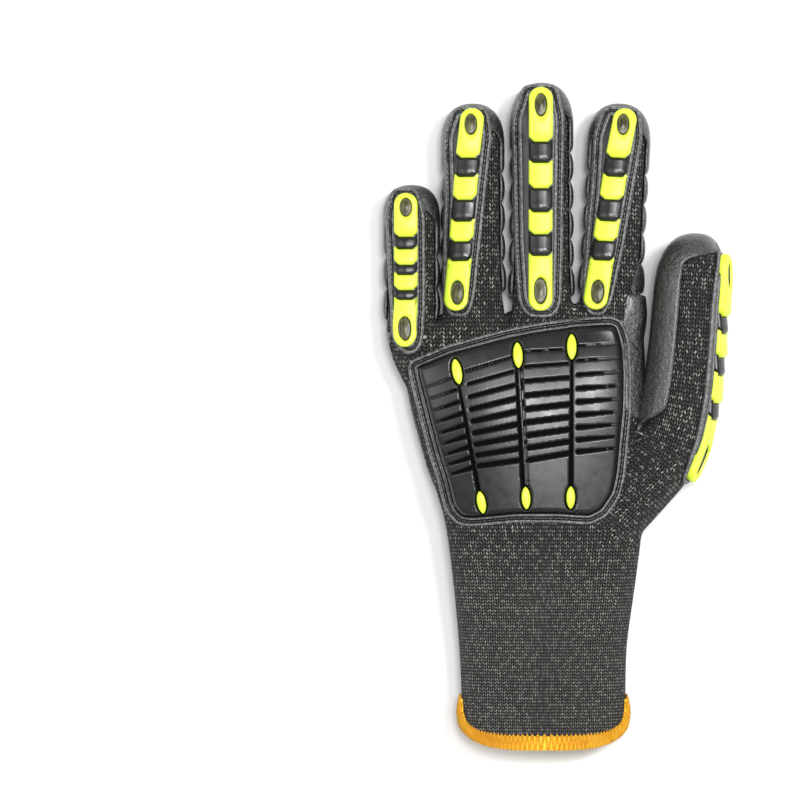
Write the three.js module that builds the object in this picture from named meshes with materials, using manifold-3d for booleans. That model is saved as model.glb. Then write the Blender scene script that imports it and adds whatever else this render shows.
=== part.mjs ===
// Anti vibration work glove for the left hand, lying palm down with its back up.
// Millimetres, +Z up, fingers along +Y, thumb on the +X side.
import * as THREE from 'three';
import { mergeVertices } from 'three/addons/utils/BufferGeometryUtils.js';
import Module from 'manifold-3d';

const wasm = await Module();
wasm.setup();

// Driving dimensions.
const PALM_LENGTH = 177; // lowest point of the hem to the roots of the middle fingers
const CUFF_WIDTH = 66; // knit cuff where it is narrowest
const HAND_DEPTH = 25; // knit hand, palm to back
const FINGER_WIDTH = 21.5; // knit index, middle and ring finger
const LITTLE_WIDTH = 18.8; // knit little finger
const FINGER_DEPTH = 16.8; // knit finger, palm side to back
const THUMB_WIDTH = 29; // knit thumb across its nail side
const THUMB_DEPTH = 22; // knit thumb, palm side to back
const THUMB_ROLL = 68; // degrees that the thumb's back is turned outward
const INDEX_LENGTH = 79.6; // root to knit fingertip
const MIDDLE_LENGTH = 88;
const RING_LENGTH = 79.6;
const LITTLE_LENGTH = 58.5;
const THUMB_LENGTH = 93;
const FINGER_SPACE = 2.2; // free space between the ribs of neighbouring fingers
const INDEX_TUCK = 0.6; // how much closer to the middle finger each finger stands
const RING_TUCK = 0.5;
const LITTLE_TUCK = 2.2;
const KNIT = 1.6; // wall of the knit liner
const GAP = 0.3; // clearance between bonded pieces
const SKIN = 1; // foam skin between the ribs
const RIB_HEIGHT = 5.5; // foam rib below the knit, skin included
const RIB_SIDE = 1.8; // how far a rib stands out beside the knit
const GROOVE_HEIGHT = 2.8; // foam between two ribs of a finger
const GROOVE_SIDE = 0.8;
const CAP_LENGTH = 25; // smooth foam cap on a fingertip
const THUMB_CAP_LENGTH = 37;
const PALM_RIB_WIDTH = 11;
const BASE = 1.2; // flat flange of the rubber strips
const BLOCK = 3.6; // raised rubber blocks, flange included
const PLATE = 3.2; // raised plate of the knuckle guard, flange included
const FLANGE = 2.3; // width of the flange round the knuckle plate
const SLOT = 1.3; // width of a slot in the knuckle plate
const CHANNEL = 3; // width of a lengthwise channel in the knuckle plate
const HEM_PROUD = 0.8; // how far the hem stands out from the knit
const HEM_EASE = 0.6; // room between the knit's sides and the ends of the hem line
const HEM_INNER = 0.4; // how far the hem stands out inside the cuff
const HEM_DEPTH = 6.6; // hem band at the middle of the cuff
const HEM_SIDE = 2; // hem band at the sides of the cuff, seen in plan
const HEM_SAG = 22.4; // how far the hem hangs below its ends at the sides
const SLOTS = 9; // slots in each column of the knuckle plate

// Sizes that follow.
const RIB_ROOM = GAP + RIB_SIDE;
const PITCH = FINGER_WIDTH + 2 * RIB_ROOM + FINGER_SPACE;
const LITTLE_PITCH = (FINGER_WIDTH + LITTLE_WIDTH) / 2 + 2 * RIB_ROOM + FINGER_SPACE;
const KNUCKLE_TAPER = 0.97; // span of the knuckles as a share of the fingers' own span
const HAND_SPAN = (2 * PITCH + LITTLE_PITCH + (FINGER_WIDTH + LITTLE_WIDTH) / 2) * KNUCKLE_TAPER;
const PALM_FLOOR = RIB_HEIGHT + GAP;
const REACH = 400; // larger than any piece, for cutters that run right through
const NEAR_REACH = 50; // larger than the height of any piece, for cutters that follow a digit

// Sections of the hand. at: share of PALM_LENGTH. hand: 0 follows the cuff's width, 1 the span of
// the knuckles. left, right: edges as shares of that width. rise: 0 on the hem's level, 1 on the
// foam. deep: share of HAND_DEPTH.
const HAND_SECTIONS = [
  { at: -0.08, hand: 0, left: -0.485, right: 0.509, rise: 0, deep: 1 },
  { at: 0.118, hand: 0, left: -0.485, right: 0.509, rise: 0, deep: 1 },
  { at: 0.24, hand: 0, left: -0.5, right: 0.515, rise: 0.15, deep: 1 },
  { at: 0.39, hand: 0.2, left: -0.489, right: 0.518, rise: 0.85, deep: 1 },
  { at: 0.52, hand: 0.45, left: -0.475, right: 0.5, rise: 1, deep: 1.01 },
  { at: 0.615, hand: 0.65, left: -0.497, right: 0.47, rise: 1, deep: 1.03 },
  { at: 0.77, hand: 0.95, left: -0.525, right: 0.41, rise: 1, deep: 1.04 },
  { at: 0.9, hand: 1, left: -0.558, right: 0.402, rise: 1, deep: 0.92 },
  { at: 0.975, hand: 1, left: -0.55, right: 0.395, rise: 1, deep: 0.66 },
];

// Sections of a finger. at: share of its length from the root. wide: share of its width.
// flare: how much of the finger's own root flare is added. deep: share of its depth.
const FINGER_SECTIONS = [
  { at: -0.3, wide: 1, flare: 1, deep: 1.02 },
  { at: 0, wide: 1, flare: 1, deep: 1.04 },
  { at: 0.1, wide: 1, flare: 0.25, deep: 1.02 },
  { at: 0.25, wide: 1, flare: 0, deep: 1 },
  { at: 0.84, wide: 0.97, flare: 0, deep: 0.95 },
  { at: 0.95, wide: 0.82, flare: 0, deep: 0.8 },
  { at: 1, wide: 0.42, flare: 0, deep: 0.42 },
];
const THUMB_SECTIONS = [
  { at: -0.36, wide: 0.74, flare: 0, deep: 0.84 },
  { at: -0.2, wide: 0.86, flare: 0, deep: 0.95 },
  { at: 0, wide: 1, flare: 0, deep: 1.08 },
  { at: 0.25, wide: 1.02, flare: 0, deep: 1.04 },
  { at: 0.6, wide: 0.98, flare: 0, deep: 0.98 },
  { at: 0.82, wide: 0.9, flare: 0, deep: 0.92 },
  { at: 0.95, wide: 0.68, flare: 0, deep: 0.72 },
  { at: 1, wide: 0.34, flare: 0, deep: 0.36 },
];

// Centre line of the thumb. out: from the hand's right edge in shares of THUMB_WIDTH. up: from the
// hem in shares of PALM_LENGTH up to the root, and of THUMB_LENGTH beyond it.
const THUMB_ROOT = 0.64;
const THUMB_FLOOR = 0.62; // level of the knit thumb's underside, share of PALM_FLOOR
const THUMB_PATH = [
  { out: -0.62, root: 0.475, beyond: 0, lift: 1.06 },
  { out: -0.02, root: 0.6, beyond: 0, lift: 1.02 },
  { out: 0.36, root: THUMB_ROOT, beyond: 0.09, lift: 1 },
  { out: 0.535, root: THUMB_ROOT, beyond: 0.28, lift: 1 },
  { out: 0.635, root: THUMB_ROOT, beyond: 0.51, lift: 1 },
  { out: 0.69, root: THUMB_ROOT, beyond: 0.73, lift: 0.97 },
  { out: 0.76, root: THUMB_ROOT, beyond: 0.98, lift: 0.94 },
];
const THUMB_START = 0.36; // share of THUMB_LENGTH that lies inside the hand

// Fingers and thumb. x: centre of the root. root: share of PALM_LENGTH. flare: share of the width
// added at the root. lean: how far the tip stands to the right, share of the length. bend: how far
// the hidden start stands to the right, share of the width. split: where the digit's own pieces
// start, share of its length. ribs: number between there and the cap. cap: length of the cap. The
// thumb's centre line is THUMB_PATH.
const DIGITS = [
  {
    name: 'little', x: -PITCH - LITTLE_PITCH + LITTLE_TUCK, root: 0.935, width: LITTLE_WIDTH,
    length: LITTLE_LENGTH, flare: 0.02, lean: 0, bend: 0.42, split: 0.14, ribs: 2,
    cap: CAP_LENGTH,
  },
  {
    name: 'ring', x: -PITCH + RING_TUCK, root: 1, width: FINGER_WIDTH,
    length: RING_LENGTH, flare: 0.16, lean: -0.004, bend: 0, split: 0.09, ribs: 4,
    cap: CAP_LENGTH,
  },
  {
    name: 'middle', x: 0, root: 1, width: FINGER_WIDTH,
    length: MIDDLE_LENGTH, flare: 0.14, lean: 0, bend: 0, split: 0.06, ribs: 5,
    cap: CAP_LENGTH,
  },
  {
    name: 'index', x: PITCH - INDEX_TUCK, root: 1, width: FINGER_WIDTH,
    length: INDEX_LENGTH, flare: 0.24, lean: 0.055, bend: -0.05, split: 0.09, ribs: 4,
    cap: CAP_LENGTH,
  },
  {
    name: 'thumb', root: THUMB_ROOT, width: THUMB_WIDTH, length: THUMB_LENGTH, flare: 0,
    split: 0.13, ribs: 4, cap: THUMB_CAP_LENGTH,
  },
];

// Rubber strips. left, right: edges as shares of the digit's width at that share of its length.
const STRIPS = {
  little: [
    { at: -0.06, left: -0.24, right: 0.08 },
    { at: 0.03, left: -0.4, right: 0.28 },
    { at: 0.4, left: -0.49, right: 0.3 },
    { at: 0.85, left: -0.44, right: 0.26 },
    { at: 1.0, left: -0.3, right: 0.1 },
  ],
  ring: [
    { at: -0.04, left: -0.46, right: -0.1 },
    { at: 0.05, left: -0.53, right: 0 },
    { at: 0.3, left: -0.5, right: 0.1 },
    { at: 0.6, left: -0.47, right: 0.25 },
    { at: 0.86, left: -0.42, right: 0.4 },
    { at: 1.0, left: -0.3, right: 0.28 },
  ],
  middle: [
    { at: -0.04, left: -0.26, right: 0.2 },
    { at: 0.03, left: -0.38, right: 0.3 },
    { at: 0.3, left: -0.46, right: 0.36 },
    { at: 0.6, left: -0.48, right: 0.4 },
    { at: 0.86, left: -0.46, right: 0.39 },
    { at: 1.0, left: -0.3, right: 0.26 },
  ],
  index: [
    { at: -0.04, left: -0.42, right: -0.12 },
    { at: 0.05, left: -0.53, right: 0.02 },
    { at: 0.3, left: -0.53, right: 0.16 },
    { at: 0.6, left: -0.48, right: 0.34 },
    { at: 0.86, left: -0.44, right: 0.42 },
    { at: 1.0, left: -0.28, right: 0.28 },
  ],
  thumb: [
    { at: 0.04, left: -0.14, right: 0.12 },
    { at: 0.12, left: -0.26, right: 0.24 },
    { at: 0.5, left: -0.29, right: 0.28 },
    { at: 0.85, left: -0.28, right: 0.28 },
    { at: 0.96, left: -0.16, right: 0.16 },
  ],
};

// Raised blocks of a strip from tip to root. from, to: shares of the digit's length. Green ones
// are separate inserts. round: 1 has a rounded upper end, -1 a rounded lower end.
const LONG_BLOCKS = [
  { name: 'tip', green: true, from: 0.755, to: 0.985, round: 1 },
  { name: 'upper_ridge', green: false, from: 0.675, to: 0.752 },
  { name: 'upper', green: true, from: 0.55, to: 0.668 },
  { name: 'middle_ridge', green: false, from: 0.47, to: 0.546 },
  { name: 'lower', green: true, from: 0.345, to: 0.463 },
  { name: 'lower_ridge', green: false, from: 0.265, to: 0.341 },
  { name: 'root', green: true, from: 0.0, to: 0.258, round: -1 },
];
const SHORT_BLOCKS = [
  { name: 'tip', green: true, from: 0.69, to: 0.955, round: 1 },
  { name: 'upper_ridge', green: false, from: 0.625, to: 0.686 },
  { name: 'upper', green: true, from: 0.525, to: 0.618 },
  { name: 'middle_ridge', green: false, from: 0.458, to: 0.521 },
  { name: 'lower', green: true, from: 0.345, to: 0.451 },
  { name: 'lower_ridge', green: false, from: 0.285, to: 0.341 },
  { name: 'root', green: true, from: 0.06, to: 0.278, round: -1 },
];
// Centre and half width of the blocks, in shares of the digit's width, at tip and root.
const BLOCK_LINES = {
  little: { blocks: SHORT_BLOCKS, tip: -0.12, root: -0.14, half: 0.26 },
  ring: { blocks: LONG_BLOCKS, tip: 0.02, root: -0.3, half: 0.225 },
  middle: { blocks: LONG_BLOCKS, tip: -0.03, root: -0.04, half: 0.225 },
  index: { blocks: LONG_BLOCKS, tip: 0.07, root: -0.28, half: 0.225 },
  thumb: { blocks: SHORT_BLOCKS, tip: 0, root: -0.01, half: 0.165 },
};

// Outline of the knuckle guard. x: share of HAND_SPAN from the middle finger. y: share of
// PALM_LENGTH.
const GUARD_OUTLINE = [
  [-0.545, 0.884], [-0.388, 0.92], [-0.243, 0.942], [-0.148, 0.956], [-0.045, 0.967],
  [0.144, 0.982], [0.289, 0.985], [0.33, 0.973], [0.359, 0.928], [0.368, 0.853],
  [0.365, 0.778], [0.351, 0.703], [0.338, 0.628], [0.318, 0.579], [0.262, 0.534],
  [0.194, 0.515], [0.058, 0.52], [-0.115, 0.52], [-0.299, 0.51], [-0.355, 0.516],
  [-0.401, 0.546], [-0.429, 0.61], [-0.462, 0.666], [-0.497, 0.74], [-0.532, 0.816],
  [-0.553, 0.866],
];
// Columns of slots: left and right end of the top and of the bottom slot.
const SLOT_COLUMNS = [
  { top: [[-0.48, 0.823], [-0.382, 0.843]], low: [[-0.391, 0.626], [-0.306, 0.641]] },
  { top: [[-0.31, 0.861], [-0.136, 0.89]], low: [[-0.26, 0.648], [-0.108, 0.66]] },
  { top: [[-0.07, 0.904], [0.088, 0.909]], low: [[-0.05, 0.662], [0.088, 0.675]] },
  { top: [[0.145, 0.917], [0.3, 0.922]], low: [[0.145, 0.68], [0.3, 0.688]] },
];
const SLOT_CROWDING = 0.12; // how much closer together the slots stand towards the wrist
// Channels with a lens at either end: upper and lower lens.
const CHANNELS = [
  { upper: [-0.351, 0.859], lower: [-0.252, 0.566] },
  { upper: [-0.103, 0.896], lower: [-0.071, 0.576] },
  { upper: [0.117, 0.915], lower: [0.111, 0.577] },
];
const UPPER_LENS = { width: 4.2, length: 10.5 };
const LOWER_LENS = { width: 3.8, length: 9 };

// Ribs of the palm: centres of their rounded ends. x: share of HAND_SPAN, y: share of PALM_LENGTH.
const PALM_RIBS = [
  [[0.35, 0.995], [0.175, 0.995]],
  [[0.1, 0.99], [-0.1, 0.99]],
  [[-0.19, 0.99], [-0.38, 0.985]],
  [[-0.46, 0.945], [-0.555, 0.95]],
  [[0.345, 0.925], [0.135, 0.93]],
  [[0.345, 0.86], [0.202, 0.866]],
  [[0.06, 0.928], [-0.231, 0.9]],
  [[0.1, 0.862], [-0.15, 0.83]],
  [[-0.32, 0.915], [-0.505, 0.885]],
  [[-0.231, 0.842], [-0.48, 0.808]],
  [[0.35, 0.795], [-0.132, 0.757]],
  [[-0.235, 0.76], [-0.445, 0.728]],
  [[0.36, 0.722], [0.14, 0.7]],
  [[0.037, 0.692], [-0.252, 0.661]],
  [[-0.34, 0.668], [-0.39, 0.66]],
  [[0.29, 0.648], [-0.12, 0.602]],
  [[-0.225, 0.59], [-0.375, 0.574]],
  [[0.285, 0.572], [0.067, 0.54]],
  [[-0.041, 0.53], [-0.34, 0.498]],
  [[0.345, 0.508], [-0.074, 0.464]],
  [[-0.18, 0.447], [-0.3, 0.433]],
  [[0.3, 0.44], [0.1, 0.405], [-0.075, 0.402]],
];
const THUMB_ROOT_RIBS = 3; // ribs of the thumb that lie on the palm's own foam
// Lower edge of the foam skin, from the thumb side to the little finger side.
const SKIN_EDGE = [
  [0.9, 0.56], [0.5, 0.46], [0.3, 0.402], [0.1, 0.372], [-0.1, 0.37], [-0.3, 0.39], [-0.7, 0.46],
];
const SKIN_TOP = 0.42; // upper edge of the skin above the palm, share of HAND_DEPTH
// The skin also covers the outer side of the index knuckle, up to the back of the hand.
const FLANK = { left: 0.33, right: 0.425, low: 0.66, high: 1.03 };

// Colours.
const KNIT_GREY = 0x3c3c3b;
const FOAM_BLACK = 0x2a2a2b;
const RUBBER_BLACK = 0x1b1b1c;
const SIGNAL_GREEN = 0xd8fa3c;
const HEM_YELLOW = 0xf2a81c;

// Facets.
const HAND_SIDES = 12;
const HAND_INNER_SIDES = 10;
const DIGIT_SIDES = 8;
const DIGIT_INNER_SIDES = 8;
const RIB_SIDES = 6;
const OVAL_SIDES = 6;
const HEM_STEPS = 12;

const MERGE_DISTANCE = 1e-5; // points closer than this are one point
const lerp = THREE.MathUtils.lerp;

// Closed solid from points and triangles, turned so that its faces point out.
function toSolid(points, faces) {
  const geometry = new THREE.BufferGeometry();
  const values = points.flatMap((p) => p.toArray());
  geometry.setAttribute('position', new THREE.Float32BufferAttribute(values, 3));
  geometry.setIndex(faces.flat());
  const merged = mergeVertices(geometry, MERGE_DISTANCE);
  const vertProperties = merged.attributes.position.array;
  const index = merged.index.array;
  let volume = 0;
  const corner = [new THREE.Vector3(), new THREE.Vector3(), new THREE.Vector3()];
  for (let i = 0; i < index.length; i += 3) {
    corner.forEach((c, k) => c.fromArray(vertProperties, 3 * index[i + k]));
    volume += corner[0].dot(corner[1].cross(corner[2]));
  }
  const triVerts = new Uint32Array(index.length);
  for (let i = 0; i < index.length; i += 3) {
    triVerts[i] = index[i];
    triVerts[i + 1] = volume > 0 ? index[i + 1] : index[i + 2];
    triVerts[i + 2] = volume > 0 ? index[i + 2] : index[i + 1];
  }
  return new wasm.Manifold(new wasm.Mesh({ numProp: 3, vertProperties, triVerts }));
}

// Skin over rings of equally many points, with a fan at both ends.
function skinRings(rings) {
  const sides = rings[0].length;
  const points = rings.flat();
  const faces = [];
  for (let r = 0; r + 1 < rings.length; r += 1) {
    for (let k = 0; k < sides; k += 1) {
      const a = r * sides + k;
      const b = r * sides + ((k + 1) % sides);
      faces.push([a, b, b + sides], [a, b + sides, a + sides]);
    }
  }
  const fan = (ring, first, reverse) => {
    const centre = ring.reduce((sum, p) => sum.add(p), new THREE.Vector3()).divideScalar(sides);
    const hub = points.push(centre) - 1;
    for (let k = 0; k < sides; k += 1) {
      const a = first + k;
      const b = first + ((k + 1) % sides);
      faces.push(reverse ? [hub, b, a] : [hub, a, b]);
    }
  };
  fan(rings[0], 0, true);
  fan(rings[rings.length - 1], (rings.length - 1) * sides, false);
  return toSolid(points, faces);
}

// Ring round a section: half width a, half height b, with rounder or squarer lower and upper halves.
// The facets' flats, not their corners, lie on the four extremes.
function sectionRing(frame, a, b, sides, low, high) {
  const angles = Array.from({ length: sides }, (_, k) => (2 * Math.PI * (k + 0.5)) / sides);
  const bend = (value, power) => Math.sign(value) * Math.abs(value) ** power;
  const widest = Math.max(...angles.map(Math.cos));
  const tallest = Math.max(...angles.map(Math.sin));
  return angles.map((angle) => {
    const power = 2 / (Math.sin(angle) < 0 ? low : high);
    const u = a * bend(Math.cos(angle) / widest, power);
    const v = b * bend(Math.sin(angle) / tallest, power);
    return frame.at.clone().addScaledVector(frame.side, u).addScaledVector(frame.up, v);
  });
}

// Sections moved outward, or inward for a negative distance, along the slope of the outline.
const END_GROWTH = 0.6; // share of the distance that the blunt far end also grows sideways
function grown(rows, distance) {
  return rows.map((row, i) => {
    const before = rows[Math.max(i - 1, 0)];
    const after = rows[Math.min(i + 1, rows.length - 1)];
    const run = after.s - before.s;
    const climb = (after.a + after.b - before.a - before.b) / 2;
    const slope = Math.hypot(run, climb);
    const last = i === rows.length - 1;
    const along = last ? distance : (-distance * climb) / slope;
    const out = last ? distance * END_GROWTH : (distance * run) / slope;
    const open = i === 0 ? Math.abs(distance) : 0;
    return { ...row, s: row.s + along - open, a: row.a + out, b: row.b + out };
  });
}

// Value of a column at distance s along a table of sections.
function columnAt(rows, s, column) {
  const next = rows.findIndex((row) => row.s >= s);
  if (next <= 0) return rows[next === 0 ? 0 : rows.length - 1][column];
  const share = (s - rows[next - 1].s) / (rows[next].s - rows[next - 1].s);
  return lerp(rows[next - 1][column], rows[next][column], share);
}

// The hand, from cuff to knuckles.
const handRows = HAND_SECTIONS.map((row) => {
  const width = lerp(CUFF_WIDTH, HAND_SPAN, row.hand);
  const floor = lerp(HEM_PROUD, PALM_FLOOR, row.rise);
  const b = (HAND_DEPTH * row.deep) / 2;
  return {
    s: row.at * PALM_LENGTH,
    x: ((row.left + row.right) / 2) * width,
    a: ((row.right - row.left) / 2) * width,
    z: floor + b,
    b,
  };
});
const HAND_LOW = 3.2; // squareness of the lower half of the hand's section
const HAND_HIGH = 2.35;

function handFrame(s) {
  return {
    at: new THREE.Vector3(columnAt(handRows, s, 'x'), s, columnAt(handRows, s, 'z')),
    side: new THREE.Vector3(1, 0, 0),
    up: new THREE.Vector3(0, 0, 1),
  };
}

function hand(distance, sides = HAND_SIDES) {
  const rings = grown(handRows, distance).map((row) => {
    const frame = { ...handFrame(row.s), at: new THREE.Vector3(row.x, row.s, row.z) };
    return sectionRing(frame, row.a, row.b, sides, HAND_LOW, HAND_HIGH);
  });
  return skinRings(rings);
}

// Height of the lower side of the knit hand at a place in plan, level beyond its flank.
const FLANK_SHARE = 0.97;
function handUnderside(x, y) {
  const offset = Math.abs(x - columnAt(handRows, y, 'x')) / columnAt(handRows, y, 'a');
  const share = (1 - Math.min(offset, FLANK_SHARE) ** HAND_LOW) ** (1 / HAND_LOW);
  return columnAt(handRows, y, 'z') - columnAt(handRows, y, 'b') * share;
}

// Digits. Each one gets a curve, its sections and a frame at any distance s from its root.
const FINGER_START = 0.3; // share of a finger's length that lies inside the hand
const ROOT_RISE = 0.6; // how much higher the centre line lies at the root
function fingerCurve(digit) {
  const half = FINGER_DEPTH / 2;
  const points = [-FINGER_START, 0, 0.25, 0.6, 1].map((at) => {
    const rise = at <= 0 ? ROOT_RISE : 0;
    return new THREE.Vector3(
      digit.x + digit.lean * at * digit.length + (at < 0 ? digit.bend * digit.width : 0),
      digit.root * PALM_LENGTH + at * digit.length,
      PALM_FLOOR + half + rise,
    );
  });
  return new THREE.CatmullRomCurve3(points);
}

function thumbCurve() {
  const edge = Math.max(...handRows.map((row) => row.x + row.a));
  const roll = THREE.MathUtils.degToRad(THUMB_ROLL);
  const tall = Math.hypot(THUMB_WIDTH * Math.sin(roll), THUMB_DEPTH * Math.cos(roll)) / 2;
  const points = THUMB_PATH.map((p) => new THREE.Vector3(
    edge + p.out * THUMB_WIDTH,
    p.root * PALM_LENGTH + p.beyond * THUMB_LENGTH,
    PALM_FLOOR * THUMB_FLOOR + tall * p.lift,
  ));
  return new THREE.CatmullRomCurve3(points);
}

for (const digit of DIGITS) {
  const thumb = digit.name === 'thumb';
  digit.curve = thumb ? thumbCurve() : fingerCurve(digit);
  digit.before = digit.length * (thumb ? THUMB_START : FINGER_START);
  digit.roll = thumb ? THREE.MathUtils.degToRad(THUMB_ROLL) : 0;
  digit.depth = thumb ? THUMB_DEPTH : FINGER_DEPTH;
  digit.rows = (thumb ? THUMB_SECTIONS : FINGER_SECTIONS).map((row) => ({
    s: row.at * digit.length,
    a: (digit.width / 2) * (row.wide + row.flare * digit.flare),
    b: (digit.depth / 2) * row.deep,
  }));
  digit.frame = (s) => {
    const total = digit.before + digit.length;
    const along = s + digit.before;
    const share = THREE.MathUtils.clamp(along / total, 0, 1);
    const at = digit.curve.getPointAt(share);
    const ahead = digit.curve.getTangentAt(share);
    at.addScaledVector(ahead, along - share * total);
    const level = new THREE.Vector3().crossVectors(ahead, new THREE.Vector3(0, 0, 1)).normalize();
    const side = level.clone().applyAxisAngle(ahead, digit.roll);
    const up = new THREE.Vector3().crossVectors(side, ahead);
    return { at, side, up };
  };
}

const DIGIT_ROUND = 2.3; // squareness of a digit's section
const BLOCK_STEP = 12; // longest straight step of a cutter that follows a digit

function digitSolid(digit, distance, sides = DIGIT_SIDES) {
  const rings = grown(digit.rows, distance)
    .map((row) => sectionRing(digit.frame(row.s), row.a, row.b, sides, DIGIT_ROUND, DIGIT_ROUND));
  return skinRings(rings);
}

// Straight-sided block along a digit from s0 to s1, between heights v0 and v1 of its sections.
function digitBlock(digit, s0, s1, half, low, high) {
  const steps = Math.max(1, Math.round((s1 - s0) / BLOCK_STEP));
  const rings = Array.from({ length: steps + 1 }, (_, i) => {
    const { at, side, up } = digit.frame(lerp(s0, s1, i / steps));
    return [[-half, low], [half, low], [half, high], [-half, high]]
      .map(([u, v]) => at.clone().addScaledVector(side, u).addScaledVector(up, v));
  });
  return skinRings(rings);
}

// Prism over a closed outline. place turns an outline point and a height into a point in space.
function prism(outline, low, high, place) {
  const contour = outline.map(([x, y]) => new THREE.Vector2(x, y));
  const top = THREE.ShapeUtils.triangulateShape(contour, []);
  const count = contour.length;
  const points = [low, high].flatMap((height) => contour.map((p) => place(p.x, p.y, height)));
  const faces = [];
  for (const [a, b, c] of top) {
    faces.push([a, c, b], [a + count, b + count, c + count]);
  }
  const turn = Math.sign(THREE.ShapeUtils.area(contour));
  for (let k = 0; k < count; k += 1) {
    const next = (k + 1) % count;
    const wall = turn > 0 ? [k, next] : [next, k];
    faces.push([wall[0], wall[1], wall[1] + count], [wall[0], wall[1] + count, wall[0] + count]);
  }
  return toSolid(points, faces);
}

const inPlan = (x, y, height) => new THREE.Vector3(x, y, height);

function planPrism(outline, low = -REACH, high = REACH) {
  return prism(outline, low, high, inPlan);
}

function digitPrism(digit, outline, low, high) {
  return prism(outline, low, high, (u, s, v) => {
    const { at, side, up } = digit.frame(s);
    return at.addScaledVector(side, u).addScaledVector(up, v);
  });
}

const inHand = ([x, y]) => [x * HAND_SPAN, y * PALM_LENGTH];

// Outline moved inward by a distance along the bisectors of its corners.
const SHARPEST = 0.5; // limit on how far a sharp corner runs out
function inset(outline, distance) {
  const turn = Math.sign(THREE.ShapeUtils.area(outline.map(([x, y]) => new THREE.Vector2(x, y))));
  return outline.map((point, i) => {
    const p = new THREE.Vector2(...point);
    const back = new THREE.Vector2(...outline.at(i - 1)).sub(p).normalize();
    const ahead = new THREE.Vector2(...outline[(i + 1) % outline.length]).sub(p).normalize();
    const normal = new THREE.Vector2(-(ahead.y - back.y), ahead.x - back.x).normalize();
    const sharp = Math.max(SHARPEST, Math.abs(normal.dot(new THREE.Vector2(-ahead.y, ahead.x))));
    p.addScaledVector(normal, (turn * distance) / sharp);
    return [p.x, p.y];
  });
}

function oval(x, y, width, length, tilt, sides = OVAL_SIDES) {
  const cos = Math.cos(tilt);
  const sin = Math.sin(tilt);
  return Array.from({ length: sides }, (_, k) => {
    const angle = (2 * Math.PI * k) / sides;
    const u = (Math.cos(angle) * width) / 2;
    const v = (Math.sin(angle) * length) / 2;
    return [x + u * cos - v * sin, y + u * sin + v * cos];
  });
}

// Bar of a given width between two points in plan, with square ends.
function bar(from, to, width) {
  const start = new THREE.Vector2(...from);
  const end = new THREE.Vector2(...to);
  const across = end.clone().sub(start).normalize().multiplyScalar(width / 2);
  const normal = new THREE.Vector2(-across.y, across.x);
  return [
    start.clone().sub(normal), end.clone().sub(normal), end.clone().add(normal), start.clone().add(normal),
  ].map((p) => p.toArray());
}

const union = (solids) => solids.reduce((sum, solid) => sum.add(solid));
const allDigits = (distance, sides) => DIGITS.map((digit) => digitSolid(digit, distance, sides));
const gloveSolid = (distance) => union([hand(distance), ...allDigits(distance)]);

const outside = gloveSolid(0);
const inside = union([hand(-KNIT, HAND_INNER_SIDES), ...allDigits(-KNIT, DIGIT_INNER_SIDES)]);
const clearance = gloveSolid(GAP);

// What lies beyond the place where a digit's own pieces start.
const SPLIT_HALF = 0.62; // half width of that space, share of the digit's width
const splitOf = (digit) => digit.split * digit.length;
const beyondSplit = (digit, slack) => {
  const half = digit.width * SPLIT_HALF + RIB_ROOM;
  const end = digit.length + digit.cap;
  return digitBlock(digit, splitOf(digit) - slack, end, half, -NEAR_REACH, NEAR_REACH);
};

// Hem line: a superellipse arc in plan that hangs down at the middle of the cuff.
const HEM_ROUND = 2.8;
const HEM_CENTRE = ((HAND_SECTIONS[1].left + HAND_SECTIONS[1].right) / 2) * CUFF_WIDTH;
const HEM_HALF = CUFF_WIDTH / 2 + HEM_PROUD + HEM_EASE;
const BAND_RISE = 1.5; // how much higher the band's inner line ends than its outer one
function hemLine(half, low, sag) {
  const arc = Array.from({ length: HEM_STEPS + 1 }, (_, k) => {
    const angle = Math.PI + (Math.PI * k) / HEM_STEPS;
    const u = Math.sign(Math.cos(angle)) * Math.abs(Math.cos(angle)) ** (2 / HEM_ROUND);
    const v = Math.abs(Math.sin(angle)) ** (2 / HEM_ROUND);
    return [HEM_CENTRE + half * u, low + sag * (1 - v)];
  });
  return [...arc, [REACH, low + sag], [REACH, REACH], [-REACH, REACH], [-REACH, low + sag]];
}
const aboveHemEdge = planPrism(hemLine(HEM_HALF, 0, HEM_SAG));
const aboveBand = (slack) => planPrism(
  hemLine(HEM_HALF - HEM_SIDE, HEM_DEPTH + slack, HEM_SAG - HEM_DEPTH + BAND_RISE),
);

// Pieces: solid and colour by name.
const pieces = [];
const addPiece = (name, solid, colour, roughness = 0.8) => {
  pieces.push({ name, solid, colour, roughness });
};

function knitPieces() {
  let body = outside.intersect(aboveBand(GAP));
  for (const digit of DIGITS) {
    const shell = digitSolid(digit, 0).subtract(digitSolid(digit, -KNIT, DIGIT_INNER_SIDES));
    const own = shell.intersect(beyondSplit(digit, 0));
    addPiece(`knit_${digit.name}`, own, KNIT_GREY, 0.95);
    const rest = digitSolid(digit, GAP).intersect(beyondSplit(digit, GAP));
    body = body.subtract(rest);
  }
  addPiece('knit_body', body.subtract(inside), KNIT_GREY, 0.95);
}

function hemPiece() {
  const ring = hand(HEM_PROUD).subtract(hand(-KNIT - HEM_INNER, HAND_INNER_SIDES));
  addPiece('cuff_hem', ring.intersect(aboveHemEdge).subtract(aboveBand(0)), HEM_YELLOW, 0.9);
}

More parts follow.
